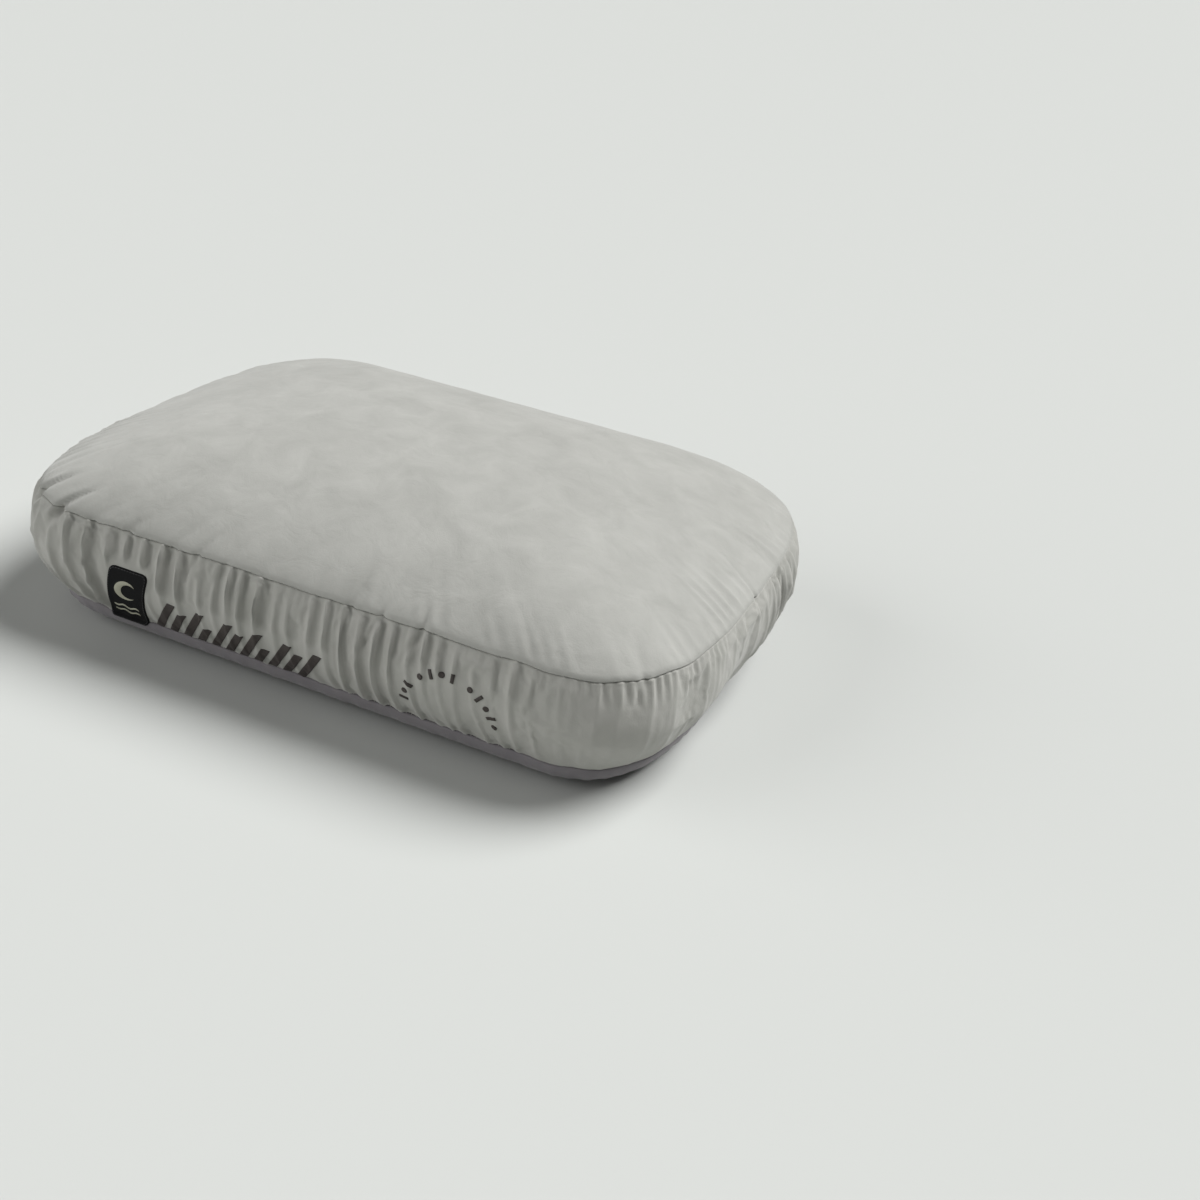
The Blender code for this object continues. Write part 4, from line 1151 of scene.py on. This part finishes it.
def stitch_tree(name, thread):
    """Stitches of one thread along a path."""
    tree, given, result = new_tree(name, Pitch=0.003, Stitch_Length=0.0022, Thread_Radius=0.0003,
                                   Rise=0.0003, Turn=0.0)
    half = add(tree, "ShaderNodeMath", {0: given.outputs["Stitch Length"], 1: 0.5}, operation="MULTIPLY")
    minus = add(tree, "ShaderNodeMath", {0: half.outputs["Value"], 1: -1.0}, operation="MULTIPLY")
    sunk = add(tree, "ShaderNodeMath", {0: given.outputs["Rise"], 1: -1.0}, operation="MULTIPLY")
    peak = add(tree, "ShaderNodeMath", {0: given.outputs["Rise"], 1: 2.0}, operation="MULTIPLY")
    start = add(tree, "ShaderNodeCombineXYZ", {"X": minus.outputs["Value"], "Z": sunk.outputs["Value"]})
    crest = add(tree, "ShaderNodeCombineXYZ", {"Z": peak.outputs["Value"]})
    end = add(tree, "ShaderNodeCombineXYZ", {"X": half.outputs["Value"], "Z": sunk.outputs["Value"]})
    arch = add(tree, "GeometryNodeCurveQuadraticBezier", {"Resolution": 5, "Start": start.outputs[0],
                                                          "Middle": crest.outputs[0], "End": end.outputs[0]})
    profile = add(tree, "GeometryNodeCurvePrimitiveCircle", {"Resolution": 6,
                                                             "Radius": given.outputs["Thread Radius"]})
    body = add(tree, "GeometryNodeCurveToMesh", {"Curve": arch.outputs["Curve"], "Fill Caps": True,
                                                 "Profile Curve": profile.outputs["Curve"]})
    line = add(tree, "GeometryNodeMeshToCurve", {"Mesh": given.outputs["Geometry"]})
    steps = add(tree, "GeometryNodeResampleCurve", {"Curve": line.outputs["Curve"],
                                                    "Length": given.outputs["Pitch"]}, mode="LENGTH")
    tangent = add(tree, "GeometryNodeInputTangent")
    out = add(tree, "GeometryNodeInputNamedAttribute", {"Name": "out"}, data_type="FLOAT_VECTOR")
    along = add(tree, "FunctionNodeAlignRotationToVector", {"Vector": tangent.outputs["Tangent"]}, axis="X")
    upright = add(tree, "FunctionNodeAlignRotationToVector", {"Rotation": along.outputs["Rotation"],
                                                              "Vector": out.outputs["Attribute"]},
                  axis="Z", pivot_axis="X")
    turn = add(tree, "ShaderNodeCombineXYZ", {"Z": given.outputs["Turn"]})
    turn_by = add(tree, "FunctionNodeEulerToRotation", {"Euler": turn.outputs[0]})
    turned = add(tree, "FunctionNodeRotateRotation", {"Rotation": upright.outputs["Rotation"],
                                                      "Rotate By": turn_by.outputs["Rotation"]},
                 rotation_space="LOCAL")
    copies = add(tree, "GeometryNodeInstanceOnPoints", {"Points": steps.outputs["Curve"],
                                                        "Instance": body.outputs["Mesh"],
                                                        "Rotation": turned.outputs["Rotation"]})
    real = add(tree, "GeometryNodeRealizeInstances", {"Geometry": copies.outputs["Instances"]})
    round_off = add(tree, "GeometryNodeSetShadeSmooth", {"Geometry": real.outputs["Geometry"]})
    coat = add(tree, "GeometryNodeSetMaterial", {"Geometry": round_off.outputs["Geometry"],
                                                 "Material": thread})
    tree.links.new(coat.outputs["Geometry"], result.inputs["Geometry"])
    return tree


SEAM_STITCH = stitch_tree("seam_stitch", SEWING_THREAD)

# %% Sew the seams
IN_THE_GROOVE = 0.8         # of the seam roll
LADDER = dict(Pitch=0.0034, Stitch_Length=0.0021, Thread_Radius=0.00028, Rise=0.00015, Turn=radians(68))
seam_place = np.interp(np.linspace(0, ROUND, 1101)[:-1], LENGTHS, PLACES)
for name, node, drop, wobble in (("top_seam_stitches", "top_seam_thread", 0, top_seam),
                                 ("bottom_seam_stitches", "bottom_seam_thread", 1, bottom_seam)):
    away = outward(seam_place)
    points = wall(seam_place, drop) - away * SEAM_ROLL * IN_THE_GROOVE
    points[:, 2] += wobble(seam_place)
    if drop == 0:
        seam_length = np.interp(seam_place, PLACES, LENGTHS)
        points -= away * pinch(0.0, seam_length + ROUND * (seam_length < ROUND / 2))[:, None]
    stitches = grown(name, path(name + "_path", points, away, closed=True), SEAM_STITCH, **LADDER)
    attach(stitches, "cover")
    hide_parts(node)

# %% Sew the back seams and topstitch the strips
RUN_DROPS = ((0.03, WINDOW_TOP - 0.02), (WINDOW_BOTTOM + 0.02, 0.97))     # above the zip, and below it
RUN_POINTS = 20
RUN_ASIDE = 0.0001          # towards the pillow's end, where the two cloths meet
RUN_SUNK = 0.0002
BACKWARDS = np.array([0, 1.0, 0])
for name, node, x in (("back_seam_stitches_left", "back_seam_thread_left", BACK_SEAM_X),
                      ("back_seam_stitches_right", "back_seam_thread_right", -BACK_SEAM_X)):
    runs = []
    into_seam = np.array([RUN_ASIDE if x > 0 else -RUN_ASIDE, -RUN_SUNK, 0])
    for run, (top_drop, low_drop) in enumerate(RUN_DROPS):
        drops = np.linspace(top_drop, low_drop, RUN_POINTS)
        points = wall(back_place(x) + 0 * drops, drops) + into_seam
        line_path = path(f"{name}_path_{run}", points, np.tile(BACKWARDS, (RUN_POINTS, 1)))
        runs.append(grown(f"{name}_{run}", line_path, SEAM_STITCH, **LADDER))
    stitches = joined(name, *runs)
    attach(stitches, "cover")
    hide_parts(node)

RUNNING = dict(Pitch=0.0032, Stitch_Length=0.0024, Thread_Radius=0.00027, Rise=0.0002)
ROWS_IN = 2                 # rows of the strip between its folded edge and the stitches
TOPSTITCH_PROUD = 0.0001
topstitches = []
for name, cloth, row in (("upper_topstitch", upper_cloth, -len(HEM) - 1 - ROWS_IN),
                         ("lower_topstitch", lower_cloth, len(HEM) + ROWS_IN)):
    line_points = cloth[row] + BACKWARDS * TOPSTITCH_PROUD
    line_path = path(name + "_path", line_points, np.tile(BACKWARDS, (len(line_points), 1)))
    topstitches.append(grown(name, line_path, SEAM_STITCH, **RUNNING))
topstitch = joined("zip_topstitch", *topstitches)
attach(topstitch, "cover")

# %% [markdown]
# ### Patch stitches
#
# The patch is sewn on with a short black stitch close to its edge, all the way round.

# %% Sew on the patch
BLACK_THREAD = grained("black_polyester_thread", "#1a1a1b", "#1a1a1b", "#1a1a1b", 0.55, "Wave", TWIST,
                       strength=0.5, depth=0.0001, Sheen_Weight=0.2)
PATCH_STITCH = stitch_tree("patch_stitch", BLACK_THREAD)
MARGIN = 0.0013
border = []
for angle in np.radians(np.arange(0, 360, 3)):
    c, s = cos(angle), sin(angle)
    reach_x, reach_y = PATCH_WIDTH / 2 - MARGIN, PATCH_HEIGHT / 2 - MARGIN
    corner = PATCH_CORNER - MARGIN
    stretch = min(reach_x / max(abs(c), 1e-9), reach_y / max(abs(s), 1e-9))
    x, y = stretch * c, stretch * s
    over_x, over_y = abs(x) - (reach_x - corner), abs(y) - (reach_y - corner)
    if over_x > 0 and over_y > 0:
        pull = corner / max((over_x ** 2 + over_y ** 2) ** 0.5, corner)
        x = np.sign(x) * (reach_x - corner + over_x * pull)
        y = np.sign(y) * (reach_y - corner + over_y * pull)
    border.append((x, y + PATCH_HEIGHT / 2))
border = np.array(border)
border_points = on_patch(border[:, 0], border[:, 1], 0.0)
border_out = smooth_front(*patch_spot(border[:, 0], border[:, 1]))[1]
border_path = path("patch_path", border_points, border_out, closed=True)
patch_stitches = grown("patch_stitches", border_path, PATCH_STITCH, Pitch=0.0021, Stitch_Length=0.0015,
                       Thread_Radius=0.0002, Rise=0.00012)
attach(patch_stitches, "cover")

# %% [markdown]
# ### Zip coils
#
# Each half of a coil zip is a spring of nylon wire, flattened a little and sewn to its tape. The Spiral
# node draws it directly, with one turn every 1.5 mm. The lower coil starts half a turn later, so its
# turns point between those of the upper one.

# %% Wind the coils
NYLON = grained("nylon_coil_monofilament", "#8b8c87", "#7d7e79", "#979893", 0.38, "Noise",
                {"Scale": 1200.0}, strength=0.3, depth=0.00005, Coat_Weight=0.1)
COIL_PITCH = 0.0015
WIRE_RADIUS = 0.00033
TURN_POINTS = 10
COIL_SETBACK = 0.00045      # how far each coil sits back, so that the two mesh without touching

coil_tree, coil_in, coil_out = new_tree("coil", Turns=170.0, Coil_Radius=0.0009, Coil_Length=0.255,
                                        Wire_Radius=0.0003, Left=0.0, Depth=0.0, Height=0.0,
                                        Start_Turn=0.0)
spring = add(coil_tree, "GeometryNodeCurveSpiral", {"Resolution": TURN_POINTS,
                                                    "Rotations": coil_in.outputs["Turns"],
                                                    "Start Radius": coil_in.outputs["Coil Radius"],
                                                    "End Radius": coil_in.outputs["Coil Radius"],
                                                    "Height": coil_in.outputs["Coil Length"]})
wire = add(coil_tree, "GeometryNodeCurvePrimitiveCircle", {"Resolution": 5,
                                                           "Radius": coil_in.outputs["Wire Radius"]})
wound = add(coil_tree, "GeometryNodeCurveToMesh", {"Curve": spring.outputs["Curve"], "Fill Caps": True,
                                                   "Profile Curve": wire.outputs["Curve"]})
spin_angle = add(coil_tree, "ShaderNodeCombineXYZ", {"Z": coil_in.outputs["Start Turn"]})
spun = add(coil_tree, "GeometryNodeTransform", {"Geometry": wound.outputs["Mesh"],
                                                "Rotation": spin_angle.outputs[0]})
laid_down = add(coil_tree, "GeometryNodeTransform", {"Geometry": spun.outputs["Geometry"]})
laid_down.inputs["Rotation"].default_value = (0, radians(90), 0)
coil_place = add(coil_tree, "ShaderNodeCombineXYZ", {"X": coil_in.outputs["Left"],
                                                     "Y": coil_in.outputs["Depth"],
                                                     "Z": coil_in.outputs["Height"]})
placed = add(coil_tree, "GeometryNodeTransform", {"Geometry": laid_down.outputs["Geometry"],
                                                  "Translation": coil_place.outputs[0]})
coil_smooth = add(coil_tree, "GeometryNodeSetShadeSmooth", {"Geometry": placed.outputs["Geometry"]})
coil_real = add(coil_tree, "GeometryNodeRealizeInstances", {"Geometry": coil_smooth.outputs["Geometry"]})
coil_coat = add(coil_tree, "GeometryNodeSetMaterial", {"Geometry": coil_real.outputs["Geometry"],
                                                       "Material": NYLON})
coil_tree.links.new(coil_coat.outputs["Geometry"], coil_out.inputs["Geometry"])

CHAIN_MIDDLE = (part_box("zip_coil_upper")[0].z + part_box("zip_coil_lower")[1].z) / 2
for name, node, start_turn in (("upper_coil", "zip_coil_upper", 0.0), ("lower_coil", "zip_coil_lower", pi)):
    low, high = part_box(node)
    setback = COIL_SETBACK if low.z > CHAIN_MIDDLE else -COIL_SETBACK
    coil_radius = (high.y - low.y) / 2 - WIRE_RADIUS
    coil = grown(name, path(name + "_start", [(0, 0, 0), (0, 0, MILLIMETRE)], [BACKWARDS] * 2), coil_tree,
                 Turns=(high.x - low.x) / COIL_PITCH, Coil_Radius=coil_radius, Coil_Length=high.x - low.x,
                 Wire_Radius=WIRE_RADIUS, Left=low.x, Depth=(low.y + high.y) / 2,
                 Height=(low.z + high.z) / 2 - setback, Start_Turn=start_turn)
    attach(coil, "cover")
    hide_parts(node)

# %% [markdown]
# ## Tapes, slider, pull, stops and care label
#
# The zip's tapes, its slider and pull, and the stops already have their real shape in the working model,
# so they only get their finish. The slider is cast zinc under grey paint, worn a little where fingers
# and the other parts rub it. The care label is a blank satin ribbon.

# %% Tape, zinc and satin finishes
TAPE_RIB = 0.0009
ZIP_TAPE = grained("woven_polyester_tape", "#9fa09a", "#85867f", "#a6a7a1", 0.8, "Wave",
                   {"Scale": BAND_SPACING / TAPE_RIB, "Distortion": 0.6}, strength=0.8, depth=0.00012,
                   Sheen_Weight=0.15)

PAINTED_ZINC, zinc_tree, zinc_shader = finish("painted_zinc", "#6d6e6b", 0.38)
zinc_where = add(zinc_tree, "ShaderNodeTexCoord").outputs["Object"]
scuffs = add(zinc_tree, "ShaderNodeTexNoise", {"Vector": zinc_where, "Scale": 520.0, "Detail": 6.0,
                                               "Roughness": 0.7})
worn = add(zinc_tree, "ShaderNodeMapRange", {"Value": scuffs.outputs["Fac"], "From Min": 0.60,
                                             "From Max": 0.70})
zinc_tone = add(zinc_tree, "ShaderNodeMix", {0: worn.outputs["Result"], 6: linear("#6a6b68"),
                                             7: linear("#a9a9a6")}, data_type="RGBA")
zinc_tree.links.new(zinc_tone.outputs[2], zinc_shader.inputs["Base Color"])
zinc_tree.links.new(worn.outputs["Result"], zinc_shader.inputs["Metallic"])
dull = add(zinc_tree, "ShaderNodeMapRange", {"Value": scuffs.outputs["Fac"], "To Min": 0.30,
                                             "To Max": 0.50})
zinc_tree.links.new(dull.outputs["Result"], zinc_shader.inputs["Roughness"])
peel = add(zinc_tree, "ShaderNodeBump", {"Height": scuffs.outputs["Fac"], "Strength": 0.15,
                                         "Distance": 0.0001})
zinc_tree.links.new(peel.outputs["Normal"], zinc_shader.inputs["Normal"])

SATIN = woven("satin_ribbon", "#e6e5df", "#dcdad2", 0.35, 0.00006, 0.35, Sheen_Weight=0.2)


def refinish(material, *nodes):
    """Gives pieces of the working model a finish; their shape stays."""
    for name in nodes:
        mesh = NODES[name].data
        mesh.materials.clear()
        mesh.materials.append(material)


refinish(ZIP_TAPE, "zip_tape_upper", "zip_tape_lower")
refinish(PAINTED_ZINC, "zip_slider", "zip_pull", "top_stop_upper", "top_stop_lower", "bottom_stop")

# %% Hang the care label
label_low, label_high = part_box("care_label")
LABEL_LIFT = 0.0012
LABEL_PROUD = 0.0009
LABEL_THICKNESS = 0.0003
LABEL_CURL = 0.4            # how much of the free end's lift comes and goes down the ribbon
LABEL_CURLS = 12.0          # turned through over the whole wall, in radians
label_drop, label_x = np.meshgrid(
    np.linspace((TOP_SEAM_Z - label_high.z) / WALL_HEIGHT, (TOP_SEAM_Z - label_low.z) / WALL_HEIGHT, 17),
    np.linspace(label_high.x, label_low.x, 25), indexing="ij")
free = (label_x - label_low.x) / (label_high.x - label_low.x)
label_points = wall(back_place(label_x), label_drop)
label_curl = 1 - LABEL_CURL + LABEL_CURL * np.cos(LABEL_CURLS * label_drop)
label_points[..., 1] += LABEL_PROUD + LABEL_LIFT * free ** 2 * label_curl
care_label = make_piece("care_label_ribbon", label_points, grid_faces(*label_x.shape), SATIN)
give_uv(care_label, np.stack([label_x, label_drop * WALL_HEIGHT], -1))
thicken(care_label, LABEL_THICKNESS)
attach(care_label, "cover")
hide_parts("care_label")

# %% [markdown]
# ## Inside: foam and liner
#
# Nothing of these shows while the zip is closed, but a pillow that is taken apart should have them: a
# block of memory foam with an open, slightly porous skin, and a thin knitted liner in two halves. They
# follow the same formulas as the cover and are fitted to their places in the frame.

# %% Foam and liner
FOAM_CELL = 0.0012
FOAM = grained("memory_foam", "#e9e4d2", "#d8d1bb", "#efebdc", 0.95, "Voronoi", {"Scale": 1 / FOAM_CELL},
               strength=0.5, depth=0.0003, reading="Distance", Subsurface_Weight=0.05)
LINER_CLOTH = brushed("thin_knitted_liner", "#e8e8e4", "#dededa", 0.7, 25, 0.0003)

INNER_COLUMNS = 240
LINER_THICKNESS = 0.0005
FLOOR_SHARES = (0.75, 0.5, 0.25)        # rings that close the flat floor towards its middle
INNER_ROOM = np.array([0.006, 0.006, 0.003])     # the folds of the cover dip in this far
inner_place = np.interp(np.linspace(0, ROUND, INNER_COLUMNS + 1)[:-1], LENGTHS, PLACES)
inner_rings = np.sin(np.linspace(0, pi / 2, 26))[1:]
dome_rows = [dome(inner_place, ring + 0 * inner_place) for ring in inner_rings]
wall_rows = [wall(inner_place, drop) for drop in np.linspace(0, 2, 33)[1:]]
floor_rows = [wall_rows[-1] * [share_in, share_in, 1] + np.array([0, MIDDLE_Y * (1 - share_in), 0])
              for share_in in FLOOR_SHARES]


def inner_piece(name, rows, start, end, material, node):
    """A closed or half-open form, fitted to its node's box. start and end say which ends are closed."""
    points = np.stack(rows)
    faces = grid_faces(*points.shape[:2], closed=True).tolist()
    total = points[..., 0].size
    points = points.reshape(-1, 3)
    ring_index = np.arange(INNER_COLUMNS)
    following = np.roll(ring_index, -1)
    if start:
        points = np.concatenate([points, [[0, MIDDLE_Y, points[:, 2].max()]]])
        faces += [[len(points) - 1, int(a), int(b)] for a, b in zip(ring_index, following)]
    if end:
        points = np.concatenate([points, [[0, MIDDLE_Y, 0]]])
        offset = total - INNER_COLUMNS
        faces += [[int(a) + offset, len(points) - 1, int(b) + offset] for a, b in zip(ring_index, following)]
    low, high = (np.array(corner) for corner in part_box(node))
    low, high = low + INNER_ROOM, high - INNER_ROOM
    own_low, own_high = points.min(0), points.max(0)
    points = low + (points - own_low) / (own_high - own_low) * (high - low)
    piece = make_piece(name, points, faces, material)
    if not (start and end):
        thicken(piece, LINER_THICKNESS)
    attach(piece, "cover")
    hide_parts(node)
    return piece


core = inner_piece("foam_block", dome_rows + wall_rows + floor_rows, True, True, FOAM, "foam_core")
inner_piece("liner_top", dome_rows + wall_rows[:1], True, False, LINER_CLOTH, "liner_upper")
inner_piece("liner_bottom", wall_rows + floor_rows, False, True, LINER_CLOTH, "liner_lower")
